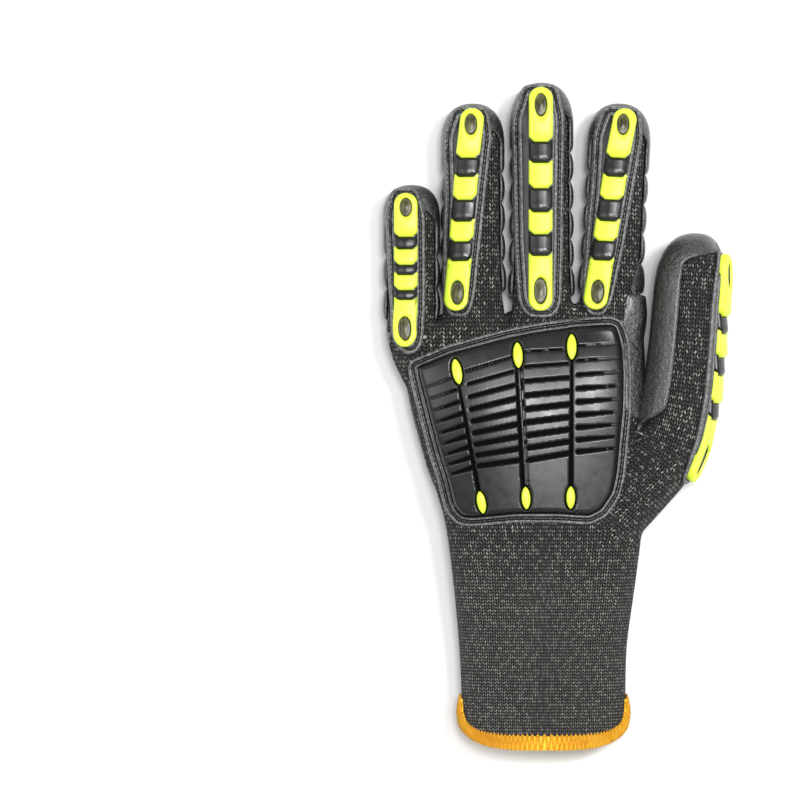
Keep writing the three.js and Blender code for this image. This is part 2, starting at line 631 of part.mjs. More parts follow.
// Foam of a digit: grooves and ribs from the root on, then the cap over the tip. RIB_RUN: where a
// rib is full within its pitch. The cap is full from CAP_SHOULDER on and wraps the tip beyond TIP_SHARE
// of the length.
const RIB_RUN = [0.2, 0.8];
const ROOT_RUN = 4;
const CAP_SHOULDER = 2.4;
const TIP_SHARE = 0.9;
const TIP_SIDE = 0.75;
const TIP_UNDER = 0.8;
function foamRows(digit, rootRibs = 0) {
  const capStart = digit.length - digit.cap;
  const start = splitOf(digit);
  const pitch = (capStart - start) / digit.ribs;
  const list = [];
  const put = (s, side, under) => list.push({ s, side, under });
  put(start - rootRibs * pitch - ROOT_RUN, GROOVE_SIDE, GROOVE_HEIGHT);
  for (let rib = -rootRibs; rib < digit.ribs; rib += 1) {
    const s = start + rib * pitch;
    put(s, GROOVE_SIDE, GROOVE_HEIGHT);
    for (const share of RIB_RUN) put(s + pitch * share, RIB_SIDE, RIB_HEIGHT);
  }
  put(capStart, GROOVE_SIDE, GROOVE_HEIGHT);
  put(capStart + CAP_SHOULDER, RIB_SIDE, RIB_HEIGHT);
  const capRows = digit.rows.filter((row) => row.s > capStart + 2 * CAP_SHOULDER);
  capRows.forEach((row, k) => {
    const last = k === capRows.length - 1;
    put(row.s, RIB_SIDE, last ? RIB_HEIGHT * TIP_UNDER : RIB_HEIGHT);
  });
  return list;
}

function foamSolid(digit, slack = 0, rootRibs = 0) {
  const rings = foamRows(digit, rootRibs).map((row) => {
    const wrap = Math.max(0, row.s / digit.length - TIP_SHARE) / (1 - TIP_SHARE);
    const frame = digit.frame(row.s + wrap * RIB_ROOM);
    const room = wrap > 0 ? TIP_SIDE : 1;
    const a = columnAt(digit.rows, row.s, 'a') + GAP + row.side * room + slack;
    const b = columnAt(digit.rows, row.s, 'b') + GAP + row.under / 2 + slack;
    frame.at.addScaledVector(frame.up, -row.under / 2);
    return sectionRing(frame, a, b, DIGIT_SIDES, DIGIT_ROUND, DIGIT_ROUND);
  });
  return skinRings(rings);
}

const FOAM_TOP = 0.3; // upper edge of the foam, share of the digit's half depth
const foamTop = (digit) => (FOAM_TOP * digit.depth) / 2;
const corners = [[-REACH, -REACH], [REACH, -REACH], [REACH, REACH], [-REACH, REACH]];
const aboveFloor = planPrism(corners, 0, REACH);

function digitFoam() {
  for (const digit of DIGITS) {
    const end = digit.length + digit.cap;
    const palmar = digitBlock(digit, splitOf(digit), end, digit.width, -NEAR_REACH, foamTop(digit));
    const others = DIGITS.filter((other) => other !== digit);
    const taken = others.map((other) => digitSolid(other, 2 * GAP + SKIN));
    const foam = foamSolid(digit).intersect(palmar).intersect(aboveFloor)
      .subtract(digitSolid(digit, GAP)).subtract(union([hand(2 * GAP + SKIN), ...taken]));
    addPiece(`padding_${digit.name}`, foam, FOAM_BLACK, 0.7);
  }
}

// One rib of the palm, round ended, hanging below the knit hand and bent with its underside. Long
// ribs have a section halfway. END_WIDE: width of the blunt end. FULL_FROM: where it is full.
const END_WIDE = 0.5;
const END_DEEP = 0.62;
const FULL_FROM = 0.3;
const RIB_ROUND = 2.2;
function palmRib(ends) {
  const half = PALM_RIB_WIDTH / 2;
  const path = ends.map(inHand).map(([x, y]) => new THREE.Vector3(x, y, 0));
  const curve = new THREE.CatmullRomCurve3(path);
  const length = curve.getLength();
  const halfway = length > 3 * PALM_RIB_WIDTH ? [{ s: length / 2, end: false }] : [];
  const stops = [
    { s: -half, end: true },
    { s: -half * FULL_FROM, end: false },
    ...halfway,
    { s: length + half * FULL_FROM, end: false },
    { s: length + half, end: true },
  ];
  const rings = stops.map((stop) => {
    const share = THREE.MathUtils.clamp(stop.s / length, 0, 1);
    const at = curve.getPointAt(share);
    const ahead = curve.getTangentAt(share);
    at.addScaledVector(ahead, stop.s - share * length);
    at.z = handUnderside(at.x, at.y) - GAP;
    const up = new THREE.Vector3(0, 0, 1);
    const side = new THREE.Vector3().crossVectors(ahead, up).normalize();
    const wide = half * (stop.end ? END_WIDE : 1);
    const deep = RIB_HEIGHT * (stop.end ? END_DEEP : 1);
    return sectionRing({ at, side, up }, wide, deep, RIB_SIDES, RIB_ROUND, RIB_ROUND);
  });
  return skinRings(rings);
}

const skinLevel = PALM_FLOOR + HAND_DEPTH * SKIN_TOP;
function palmFoam() {
  const edge = SKIN_EDGE.map(inHand);
  const [right, left] = [edge[0][1], edge.at(-1)[1]];
  const covered = [...edge, [-REACH, left], [-REACH, REACH], [REACH, REACH], [REACH, right]];
  const lower = planPrism(covered, -REACH, skinLevel);
  const side = [
    [FLANK.left, FLANK.low], [FLANK.right, FLANK.low],
    [FLANK.right, FLANK.high], [FLANK.left, FLANK.high],
  ];
  const guard = inset(GUARD_OUTLINE.map(inHand), -GAP);
  const flank = planPrism(side.map(inHand)).subtract(planPrism(guard, skinLevel, REACH));
  const thumb = DIGITS.find((digit) => digit.name === 'thumb');
  const split = splitOf(thumb) + GAP;
  const ball = digitBlock(thumb, -thumb.before, split, thumb.width, -NEAR_REACH, -foamTop(thumb));
  const rootRibs = foamSolid(thumb, 0, THUMB_ROOT_RIBS).intersect(ball).intersect(lower);
  const ribs = union([...PALM_RIBS.map(palmRib), rootRibs]);
  let foam = gloveSolid(GAP + SKIN).intersect(lower.add(flank)).add(ribs).subtract(clearance);
  for (const digit of DIGITS) {
    const taken = digitSolid(digit, 2 * GAP + SKIN).add(foamSolid(digit, GAP));
    foam = foam.subtract(taken.intersect(beyondSplit(digit, GAP)));
  }
  for (const digit of DIGITS) foam = foam.subtract(stripPlate(digit, BLOCK + GAP, GAP));
  addPiece('palm_padding', foam.intersect(aboveFloor), FOAM_BLACK, 0.7);
}

// Plate of a rubber strip, with its edges moved out by a slack.
function stripPlate(digit, height, slack = 0) {
  const rows = STRIPS[digit.name];
  const outline = [
    ...rows.map((row) => [row.right * digit.width, row.at * digit.length]),
    ...rows.toReversed().map((row) => [row.left * digit.width, row.at * digit.length]),
  ];
  const low = foamTop(digit) + GAP - slack;
  return gloveGrown(GAP + height).intersect(digitPrism(digit, inset(outline, -slack), low, NEAR_REACH));
}

const grownCache = new Map();
function gloveGrown(distance) {
  if (!grownCache.has(distance)) grownCache.set(distance, gloveSolid(distance));
  return grownCache.get(distance);
}

// Outline of a raised block: a tongue with a chamfered lower end, or with a rounded end whose
// corners are given as shares of the block's half width, across and back from its end.
const ROUND_END = [{ across: 1, back: 0.9 }, { across: 0.75, back: 0.35 }, { across: 0.3, back: 0 }];
const CHAMFER = { across: 0.45, up: 0.22 };
function blockOutline(digit, block, line) {
  const from = block.from * digit.length;
  const to = block.to * digit.length;
  const half = line.half * digit.width;
  const shift = (at) => lerp(line.root, line.tip, at) * digit.width;
  const low = shift(block.from);
  const high = shift(block.to);
  if (block.round) {
    const [far, near, out] = block.round > 0 ? [high, low, to] : [low, high, from];
    const flat = block.round > 0 ? from : to;
    const corner = (turn) => ({ across, back }) => [
      far + turn * half * across, out - block.round * half * back,
    ];
    return [
      [near - half, flat], [near + half, flat],
      ...ROUND_END.map(corner(1)), ...ROUND_END.toReversed().map(corner(-1)),
    ];
  }
  const top = [[high + half, to], [high - half, to]];
  if (!block.green) return [[low - half, from], [low + half, from], ...top];
  const foot = half * (1 - CHAMFER.across);
  const up = from + half * CHAMFER.up;
  return [[low - foot, from], [low + foot, from], [low + half, up], ...top, [low - half, up]];
}

function strips() {
  for (const digit of DIGITS) {
    const line = BLOCK_LINES[digit.name];
    const low = foamTop(digit) + GAP;
    let strip = stripPlate(digit, BASE);
    for (const block of line.blocks) {
      const cutter = digitPrism(digit, blockOutline(digit, block, line), low, NEAR_REACH);
      const raised = gloveGrown(GAP + BLOCK).intersect(cutter);
      if (block.green) {
        const insert = raised.subtract(gloveGrown(2 * GAP + BASE));
        addPiece(`insert_${digit.name}_${block.name}`, insert, SIGNAL_GREEN, 0.55);
      } else {
        strip = strip.add(raised.intersect(stripPlate(digit, BLOCK)));
      }
    }
    addPiece(`guard_${digit.name}`, strip.subtract(clearance), RUBBER_BLACK, 0.45);
  }
}

// Place of a slot along its column, from 0 at the top to 1.
function slotShare(k) {
  const even = k / (SLOTS - 1);
  return even * (1 + SLOT_CROWDING * (1 - even));
}

function knuckleGuard() {
  const level = skinLevel + GAP;
  const outline = GUARD_OUTLINE.map(inHand);
  const cuts = [];
  for (const column of SLOT_COLUMNS) {
    for (let k = 0; k < SLOTS; k += 1) {
      const share = slotShare(k);
      const [left, right] = [0, 1].map((end) => inHand([0, 1].map(
        (axis) => lerp(column.top[end][axis], column.low[end][axis], share),
      )));
      cuts.push(bar(left, right, SLOT));
    }
  }
  const lenses = [];
  for (const channel of CHANNELS) {
    const upper = inHand(channel.upper);
    const lower = inHand(channel.lower);
    cuts.push(bar(upper, lower, CHANNEL));
    const tilt = Math.atan2(upper[1] - lower[1], upper[0] - lower[0]) - Math.PI / 2;
    lenses.push({ at: upper, size: UPPER_LENS, tilt }, { at: lower, size: LOWER_LENS, tilt });
  }
  const lensOutline = (lens, slack) => oval(
    lens.at[0], lens.at[1], lens.size.width + 2 * slack, lens.size.length + 2 * slack, lens.tilt,
  );
  for (const lens of lenses) cuts.push(lensOutline(lens, GAP));
  const cutter = union(cuts.map((cut) => planPrism(cut, level)));
  const raised = planPrism(inset(outline, FLANGE), level);
  const plate = gloveGrown(GAP + PLATE).intersect(raised).subtract(cutter);
  const flange = gloveGrown(GAP + BASE).intersect(planPrism(outline, level));
  let guard = flange.add(plate).subtract(clearance);
  for (const digit of DIGITS) guard = guard.subtract(stripPlate(digit, BLOCK + GAP, GAP));
  addPiece('knuckle_guard', guard, RUBBER_BLACK, 0.4);
  lenses.forEach((lens, k) => {
    const solid = gloveGrown(GAP + PLATE).intersect(planPrism(lensOutline(lens, 0), level))
      .subtract(gloveGrown(2 * GAP + BASE));
    addPiece(`lens_${k + 1}`, solid, SIGNAL_GREEN, 0.55);
  });
}

knitPieces();
hemPiece();
palmFoam();
digitFoam();
strips();
knuckleGuard();

// Scene graph: every piece as a named mesh, the lowest middle point of the whole at the origin.
const glove = new THREE.Group();
glove.name = 'anti_vibration_glove';
const placed = new THREE.Group();
for (const { name, solid, colour, roughness } of pieces) {
  const mesh = solid.getMesh();
  const geometry = new THREE.BufferGeometry();
  geometry.setAttribute('position', new THREE.BufferAttribute(mesh.vertProperties, 3));
  geometry.setIndex(new THREE.BufferAttribute(mesh.triVerts, 1));
  geometry.computeVertexNormals();
  const material = new THREE.MeshStandardMaterial({ color: colour, roughness, metalness: 0 });
  const part = new THREE.Mesh(geometry, material);
  part.name = name;
  placed.add(part);
}
const bounds = new THREE.Box3().setFromObject(placed);
const middle = bounds.getCenter(new THREE.Vector3());
placed.position.set(-middle.x, -middle.y, -bounds.min.z);
glove.add(placed);

export default glove;
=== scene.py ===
import math
from functools import partial

import bmesh
import bpy
import numpy as np
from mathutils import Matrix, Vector
from mathutils.bvhtree import BVHTree
from mathutils.geometry import delaunay_2d_cdt


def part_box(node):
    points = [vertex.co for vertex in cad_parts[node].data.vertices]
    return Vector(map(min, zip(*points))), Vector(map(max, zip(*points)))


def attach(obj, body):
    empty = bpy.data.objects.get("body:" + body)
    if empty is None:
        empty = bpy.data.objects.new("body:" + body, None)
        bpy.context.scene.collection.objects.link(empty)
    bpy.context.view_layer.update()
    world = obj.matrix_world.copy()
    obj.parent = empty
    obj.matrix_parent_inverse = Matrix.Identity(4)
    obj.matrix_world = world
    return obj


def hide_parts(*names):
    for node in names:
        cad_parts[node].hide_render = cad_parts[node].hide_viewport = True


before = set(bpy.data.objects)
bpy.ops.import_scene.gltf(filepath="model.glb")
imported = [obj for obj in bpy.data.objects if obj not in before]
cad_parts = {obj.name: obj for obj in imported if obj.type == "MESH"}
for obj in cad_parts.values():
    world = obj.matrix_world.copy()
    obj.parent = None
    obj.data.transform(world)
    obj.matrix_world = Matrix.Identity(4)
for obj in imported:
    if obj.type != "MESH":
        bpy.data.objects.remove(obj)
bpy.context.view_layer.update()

MM = 0.001

# Sizes of the glove.
PALM_LENGTH = 177.0
CUFF_WIDTH = 66.0
HAND_DEPTH = 25.0
FINGER_WIDTH = 21.5
LITTLE_WIDTH = 18.8
FINGER_DEPTH = 16.8
THUMB_WIDTH = 29.0
THUMB_DEPTH = 22.0
THUMB_ROLL = math.radians(68)
THUMB_LENGTH = 93.0
LENGTHS = {"index": 79.6, "middle": 88.0, "ring": 79.6, "little": 58.5}
FINGER_SPACE = 2.2
INDEX_TUCK = 0.6
RING_TUCK = 0.5
LITTLE_TUCK = 2.2
KNIT = 1.6
GAP = 0.3
SKIN = 1.0
RIB_HEIGHT = 5.5
RIB_SIDE = 1.8
CAP_LENGTH = 25.0
THUMB_CAP_LENGTH = 37.0
PALM_RIB_WIDTH = 11.0
BASE = 1.2
BLOCK = 3.6
PLATE = 3.2
HEM_PROUD = 0.8
HEM_EASE = 0.6
HEM_DEPTH = 6.6
HEM_SIDE = 2.0
HEM_SAG = 22.4
SLOTS = 9
RIB_ROOM = GAP + RIB_SIDE
TIP_PROUD = 0.6
FOAM_END = RIB_ROOM + TIP_PROUD
PITCH = FINGER_WIDTH + 2 * RIB_ROOM + FINGER_SPACE
LITTLE_PITCH = (FINGER_WIDTH + LITTLE_WIDTH) / 2 + 2 * RIB_ROOM + FINGER_SPACE
SPAN_EASE = 0.97
HAND_SPAN = (2 * PITCH + LITTLE_PITCH + (FINGER_WIDTH + LITTLE_WIDTH) / 2) * SPAN_EASE
PALM_FLOOR = RIB_HEIGHT + GAP
FOAM_TOP = 0.3
# Least height over the floor, and how far the dome of a digit runs on past its length.
FLOOR_CLEAR = 0.02
TIP_EASE = 0.4
# Shares of a digit's length: the start of its dome, how far its line runs back into the hand, and
# where the thumb's own foam begins.
FINGER_DOME = 0.83
THUMB_DOME = 0.79
FINGER_BEFORE = 0.3
THUMB_BEFORE = 0.36
THUMB_SPLIT = 0.13
THUMB_RIBS = 4
# The thumb's floor as a share of the palm's, and how much the fingers' roots are lifted.
THUMB_FLOOR = 0.62
ROOT_LIFT = 0.6

# The middle finger's axis is x = 0 and the lowest point of the hem is y = 0 while a piece is made.
low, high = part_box("knit_middle")
SHIFT = np.array([(low[0] + high[0]) / 2 / MM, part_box("cuff_hem")[0][1] / MM, 0.0])


def table(columns, *rows):
    return {name: np.array([row[k] for row in rows]) for k, name in enumerate(columns.split())}


# Sections of the hand and of the digits, in shares: place along it, way from the cuff's width to the
# hand's, left and right edge, way from the hem's floor to the palm's, depth; width and flare.
HAND = table(
    "at hand left right rise deep",
    (-0.08, 0, -0.485, 0.509, 0, 1), (0.118, 0, -0.485, 0.509, 0, 1),
    (0.24, 0, -0.5, 0.515, 0.15, 1), (0.39, 0.2, -0.489, 0.518, 0.85, 1),
    (0.52, 0.45, -0.475, 0.5, 1, 1.01), (0.615, 0.65, -0.497, 0.47, 1, 1.03),
    (0.77, 0.95, -0.525, 0.41, 1, 1.04), (0.9, 1, -0.558, 0.402, 1, 0.92),
    (0.975, 1, -0.55, 0.395, 1, 0.66),
)
HAND_END = HAND["at"][-1] * PALM_LENGTH
FINGER = table(
    "at wide flare deep",
    (-0.3, 1, 1, 1.02), (0, 1, 1, 1.04), (0.1, 1, 0.25, 1.02), (0.25, 1, 0, 1), (0.84, 0.98, 0, 0.97),
)
THUMB = table(
    "at wide flare deep",
    (-0.36, 0.74, 0, 0.84), (-0.2, 0.86, 0, 0.95), (0, 1, 0, 1.08), (0.25, 1.02, 0, 1.04),
    (0.6, 0.98, 0, 0.98), (0.82, 0.94, 0, 0.95),
)
# Line of the thumb: out from the hand's edge, along the palm, on from there, lift.
THUMB_PATH = [
    (-0.62, 0.475, 0, 1.06), (-0.02, 0.6, 0, 1.02), (0.36, 0.64, 0.09, 1), (0.535, 0.64, 0.28, 1),
    (0.635, 0.64, 0.51, 1), (0.69, 0.64, 0.73, 0.97), (0.76, 0.64, 0.98, 0.94),
]
# name: centre of the root, root, width, flare, lean, bend, split, ribs
FINGERS = {
    "little": (-PITCH - LITTLE_PITCH + LITTLE_TUCK, 0.935, LITTLE_WIDTH, 0.02, 0, 0.42, 0.14, 2),
    "ring": (-PITCH + RING_TUCK, 1, FINGER_WIDTH, 0.16, -0.004, 0, 0.09, 4),
    "middle": (0, 1, FINGER_WIDTH, 0.14, 0, 0, 0.06, 5),
    "index": (PITCH - INDEX_TUCK, 1, FINGER_WIDTH, 0.24, 0.055, -0.05, 0.09, 4),
}
# Exponents of the rounded sections: digits, palm side and back of the hand, domes.
ROUND = 2.3
HAND_LOW = 3.2
HAND_HIGH = 2.35
DOME_ROUND = 2.5
FOAM_ROUND = 2.4


def blur(values, step, width):
    reach = int(3 * width / step)
    kernel = np.exp(-0.5 * (np.arange(-reach, reach + 1) * step / width) ** 2)
    padded = np.concatenate([np.full(reach, values[0]), values, np.full(reach, values[-1])])
    return np.convolve(padded, kernel / kernel.sum(), mode="valid")


def smooth(low, high, x):
    t = np.clip((x - low) / (high - low), 0, 1)
    return t * t * (3 - 2 * t)


def mix(a, b, t):
    return a + (b - a) * t


def unit(vectors):
    return vectors / np.linalg.norm(vectors, axis=-1, keepdims=True)


def arch(share, exponent):
    """Height of a rounded arch at a share of its half width."""
    return (1 - share ** exponent) ** (1 / exponent)


def power(value, exponent):
    return np.sign(value) * np.abs(value) ** exponent


def section(a, b, angle, exponent=ROUND):
    """Offsets from the middle of a rounded section to its edge."""
    return a * power(np.cos(angle), 2 / exponent), b * power(np.sin(angle), 2 / exponent)


def grid_places(low, high, step):
    """Even grid of places in plan, and how many there are each way."""
    x, y = np.arange(low[0], high[0], step), np.arange(low[1], high[1], step)
    return np.stack(np.meshgrid(x, y, indexing="ij"), axis=-1).reshape(-1, 2), len(x), len(y)


# Curves.
def centripetal(points, per=60):
    """Centripetal Catmull-Rom curve through the points, sampled densely."""
    p = [np.array(q, float) for q in points]
    p = [2 * p[0] - p[1]] + p + [2 * p[-1] - p[-2]]
    out = []
    for k in range(len(p) - 3):
        q = p[k:k + 4]
        d = [max(np.linalg.norm(q[i + 1] - q[i]) ** 0.5, 1e-6) for i in range(3)]
        t1 = (q[1] - q[0]) / d[0] - (q[2] - q[0]) / (d[0] + d[1]) + (q[2] - q[1]) / d[1]
        t2 = (q[2] - q[1]) / d[1] - (q[3] - q[1]) / (d[1] + d[2]) + (q[3] - q[2]) / d[2]
        t1, t2 = t1 * d[1], t2 * d[1]
        t = np.linspace(0, 1, per, endpoint=False)[:, None]
        out.append(
            q[1] + t1 * t + (-3 * q[1] + 3 * q[2] - 2 * t1 - t2) * t ** 2
            + (2 * q[1] - 2 * q[2] + t1 + t2) * t ** 3
        )
    return np.vstack(out + [p[-2][None]])


def arc_lengths(points):
    steps = np.linalg.norm(np.diff(points, axis=0), axis=1)
    return np.concatenate([[0], np.cumsum(steps)])


def resample(points, count, closed=False):
    points = np.asarray(points, float)
    if closed:
        points = np.vstack([points, points[:1]])
    run = arc_lengths(points)
    at = np.linspace(0, run[-1], count, endpoint=not closed)
    return np.stack([np.interp(at, run, points[:, k]) for k in range(points.shape[1])], axis=1)


def rounded(outline, count, width):
    """Closed outline with its corners rounded over a width, as evenly spaced points."""
    points = resample(outline, count, closed=True)
    step = arc_lengths(np.vstack([points, points[:1]]))[-1] / count
    reach = int(3 * width / step)
    kernel = np.exp(-0.5 * (np.arange(-reach, reach + 1) * step / width) ** 2)
    kernel /= kernel.sum()
    wide = np.vstack([points[-reach:], points, points[:reach]])
    return np.stack([np.convolve(wide[:, k], kernel, mode="valid") for k in (0, 1)], axis=1)


def inward(outline):
    """Unit normals of a closed outline that point to its inside."""
    along = np.roll(outline, -1, axis=0) - np.roll(outline, 1, axis=0)
    normal = unit(np.stack([-along[:, 1], along[:, 0]], axis=1))
    x, y = outline.T
    area = np.sum(x * np.roll(y, -1) - np.roll(x, -1) * y)
    return normal if area > 0 else -normal


def outline_distance(places, outline):
    """Distance to a closed outline, positive inside, and the nearest place on it."""
    ends = np.roll(outline, -1, axis=0)
    best = np.full(len(places), 1e9)
    near = np.zeros_like(places)
    inside = np.zeros(len(places), bool)
    for a, b in zip(outline, ends):
        d = b - a
        t = np.clip(((places - a) @ d) / (d @ d), 0, 1)
        q = a + t[:, None] * d
        reach = np.linalg.norm(places - q, axis=1)
        closer = reach < best
        best[closer], near[closer] = reach[closer], q[closer]
        crosses = (a[1] > places[:, 1]) != (b[1] > places[:, 1])
        with np.errstate(divide="ignore", invalid="ignore"):
            cut = (b[0] - a[0]) * (places[:, 1] - a[1]) / (b[1] - a[1]) + a[0]
        inside ^= crosses & (places[:, 0] < cut)
    return np.where(inside, best, -best), near


# The hand's surface.
STEP = 1.0
HAND_BLUR = 5.0
DIGIT_BLUR = 4.0
hand_y = np.arange(HAND["at"][0] * PALM_LENGTH, HAND_END + STEP, STEP)


def section_columns():
    at = HAND["at"] * PALM_LENGTH
    width = mix(CUFF_WIDTH, HAND_SPAN, HAND["hand"])
    half = HAND_DEPTH * HAND["deep"] / 2
    columns = {
        "x": (HAND["left"] + HAND["right"]) / 2 * width,
        "a": (HAND["right"] - HAND["left"]) / 2 * width,
        "z": mix(HEM_PROUD, PALM_FLOOR, HAND["rise"]) + half,
        "b": half,
    }
    return {name: blur(np.interp(hand_y, at, column), STEP, HAND_BLUR) for name, column in columns.items()}


HAND_COLUMNS = section_columns()


def hand_at(y):
    return [np.interp(y, hand_y, HAND_COLUMNS[name]) for name in ("x", "a", "z", "b")]


def hand_point(theta, y, grow=0.0):
    """Point of the hand's surface, moved outward. theta runs round the section."""
    x, a, z, b = hand_at(y)
    squareness = np.where(np.sin(theta) < 0, HAND_LOW, HAND_HIGH)
    u, v = section(a + grow, b + grow, theta, squareness)
    return np.stack(np.broadcast_arrays(x + u, y, z + v), axis=-1)


def hand_height(x, y, side=1, grow=0.0):
    """Level of the hand's back, or with side -1 of its palm, over a place in plan."""
    cx, a, z, b = hand_at(y)
    n = HAND_HIGH if side > 0 else HAND_LOW
    offset = np.clip(np.abs(x - cx) / (a + grow), 0, 0.995)
    return z + side * (b + grow) * arch(offset, n)


# Digits.
class Digit:
    def __init__(self, name, points, width, depth, length, before, roll, sections, flare):
        self.name, self.width, self.depth, self.length = name, width, depth, length
        self.before, self.roll = before, roll
        self.line = centripetal(points)
        self.run = arc_lengths(self.line)
        self.tangent = np.gradient(self.line, self.run, axis=0)
        self.dome = length * (THUMB_DOME if name == "thumb" else FINGER_DOME)
        s = np.arange(-before - 4, length + 4, 0.5)
        self.s = s
        at = sections["at"] * length
        wide = sections["wide"] + sections["flare"] * flare
        self.a0 = blur(np.interp(s, at, wide) * width / 2, 0.5, DIGIT_BLUR)
        self.b0 = blur(np.interp(s, at, sections["deep"]) * depth / 2, 0.5, DIGIT_BLUR)

    def frame(self, s):
        s = np.asarray(s, float)
        total = self.before + self.length
        share = np.clip((s + self.before) / total, 0, 1)
        where = share * self.run[-1]
        at = np.stack([np.interp(where, self.run, self.line[:, k]) for k in range(3)], axis=-1)
        ahead = [np.interp(where, self.run, self.tangent[:, k]) for k in range(3)]
        ahead = unit(np.stack(ahead, axis=-1))
        at = at + ahead * (s + self.before - share * total)[..., None]
        level = unit(np.cross(ahead, [0, 0, 1.0]))
        side = level * math.cos(self.roll) + np.cross(ahead, level) * math.sin(self.roll)
        return at, side, np.cross(side, ahead)

    def place(self, s, u, v):
        at, side, up = self.frame(s)
        return at + side * np.asarray(u)[..., None] + up * np.asarray(v)[..., None]

    def half(self, s, grow=0.0, beyond=0.0):
        """Half width and half depth at s, with the tip closed by a dome."""
        t = np.clip((s - self.dome) / (self.length + TIP_EASE + grow + beyond - self.dome), 0, 1)
        closing = arch(t, DOME_ROUND)
        a = np.interp(s, self.s, self.a0)
        b = np.interp(s, self.s, self.b0)
        return (a + grow) * closing, (b + grow) * closing

    def stations(self, step):
        """Places along the whole digit, closer together in the dome."""
        straight = np.arange(-self.before, self.dome, step)
        rest = self.length + TIP_EASE - self.dome
        turn = np.linspace(0, math.pi / 2, int(1.6 * rest / step))
        return np.concatenate([straight, self.dome + rest * np.sin(turn)])

    def on_back(self, s, u, grow):
        """Place on the back at a height above the knit, and over the foam at the tip."""
        a, b = self.half(s, grow, FOAM_END - GAP)
        a = a + RIB_SIDE * smooth(self.dome - 8, self.dome, s) * (s < self.length + FOAM_END)
        share = np.clip(np.abs(u) / np.maximum(a, 1e-6), 0, 0.995)
        return self.place(s, u, b * arch(share, ROUND))


def finger(name):
    x, root, width, flare, lean, bend, split, ribs = FINGERS[name]
    length = LENGTHS[name]
    points = [
        (x + lean * at * length + (bend * width if at < 0 else 0), root * PALM_LENGTH + at * length,
         PALM_FLOOR + FINGER_DEPTH / 2 + (ROOT_LIFT if at <= 0 else 0))
        for at in (-FINGER_BEFORE, 0, 0.25, 0.6, 1)
    ]
    digit = Digit(name, points, width, FINGER_DEPTH, length, FINGER_BEFORE * length, 0.0, FINGER, flare)
    digit.split, digit.ribs, digit.cap = split * length, ribs, CAP_LENGTH
    return digit


def thumb():
    edge = max(
        mix(CUFF_WIDTH, HAND_SPAN, share) * right for share, right in zip(HAND["hand"], HAND["right"])
    )
    tall = math.hypot(THUMB_WIDTH * math.sin(THUMB_ROLL), THUMB_DEPTH * math.cos(THUMB_ROLL)) / 2
    points = [
        (edge + out * THUMB_WIDTH, root * PALM_LENGTH + beyond * THUMB_LENGTH,
         PALM_FLOOR * THUMB_FLOOR + tall * lift)
        for out, root, beyond, lift in THUMB_PATH
    ]
    digit = Digit(
        "thumb", points, THUMB_WIDTH, THUMB_DEPTH, THUMB_LENGTH, THUMB_BEFORE * THUMB_LENGTH,
        THUMB_ROLL, THUMB, 0,
    )
    digit.split, digit.ribs, digit.cap = THUMB_SPLIT * THUMB_LENGTH, THUMB_RIBS, THUMB_CAP_LENGTH
    return digit


DIGITS = {name: finger(name) for name in FINGERS}
DIGITS["thumb"] = thumb()


# Meshes.
def grid_faces(rows, columns, close_rows=False, close_columns=False):
    r = np.arange(rows if close_rows else rows - 1)
    c = np.arange(columns if close_columns else columns - 1)
    r, c = np.meshgrid(r, c, indexing="ij")
    r2, c2 = (r + 1) % rows, (c + 1) % columns
    quads = np.stack([r * columns + c, r * columns + c2, r2 * columns + c2, r2 * columns + c], axis=-1)
    return quads.reshape(-1, 4)


def tube(rings, caps=True):
    """Closed skin over rings of equally many points, as points and faces."""
    rings = np.asarray(rings)
    rows, columns = rings.shape[:2]
    points = rings.reshape(-1, 3)
    faces = grid_faces(rows, columns, close_columns=True).tolist()
    if caps:
        first, last = len(points), len(points) + 1
        points = np.vstack([points, rings[0].mean(axis=0), rings[-1].mean(axis=0)])
        for k in range(columns):
            n = (k + 1) % columns
            faces.append([first, n, k])
            end = (rows - 1) * columns
            faces.append([last, end + k, end + n])
    return points, faces


def joined(parts):
    points, faces, count = [], [], 0
    for p, f in parts:
        points.append(p)
        faces.extend([[count + k for k in face] for face in f])
        count += len(p)
    return np.vstack(points), faces


def mesh_object(name, points, faces, material):
    mesh = bpy.data.meshes.new(name)
    places = ((np.asarray(points) + SHIFT) * MM).tolist()
    mesh.from_pydata(places, [], [list(map(int, face)) for face in faces])
    mesh.validate()
    obj = bpy.data.objects.new(name, mesh)
    bpy.context.scene.collection.objects.link(obj)
    face_outward(mesh)
    mesh.polygons.foreach_set("use_smooth", np.ones(len(mesh.polygons), bool))
    mesh.materials.append(material)
    return obj


def face_outward(mesh):
    bm = bmesh.new()
    bm.from_mesh(mesh)
    bmesh.ops.recalc_face_normals(bm, faces=bm.faces)
    bm.to_mesh(mesh)
    bm.free()


def coordinates(obj):
    co = np.empty(len(obj.data.vertices) * 3, np.float32)
    obj.data.vertices.foreach_get("co", co)
    return co.reshape(-1, 3).astype(float) / MM - SHIFT


def set_coordinates(obj, points):
    obj.data.vertices.foreach_set("co", ((points + SHIFT) * MM).astype(np.float32).ravel())
    obj.data.update()


def applied(obj):
    """Puts the object's modifiers into its mesh."""
    depsgraph = bpy.context.evaluated_depsgraph_get()
    mesh = bpy.data.meshes.new_from_object(obj.evaluated_get(depsgraph))
    obj.modifiers.clear()
    old, obj.data = obj.data, mesh
    bpy.data.meshes.remove(old)
    mesh.polygons.foreach_set("use_smooth", np.ones(len(mesh.polygons), bool))
    return obj


def relaxed(obj, rounds):
    relax = obj.modifiers.new("relax", "SMOOTH")
    relax.factor = 0.5
    relax.iterations = rounds
    return applied(obj)


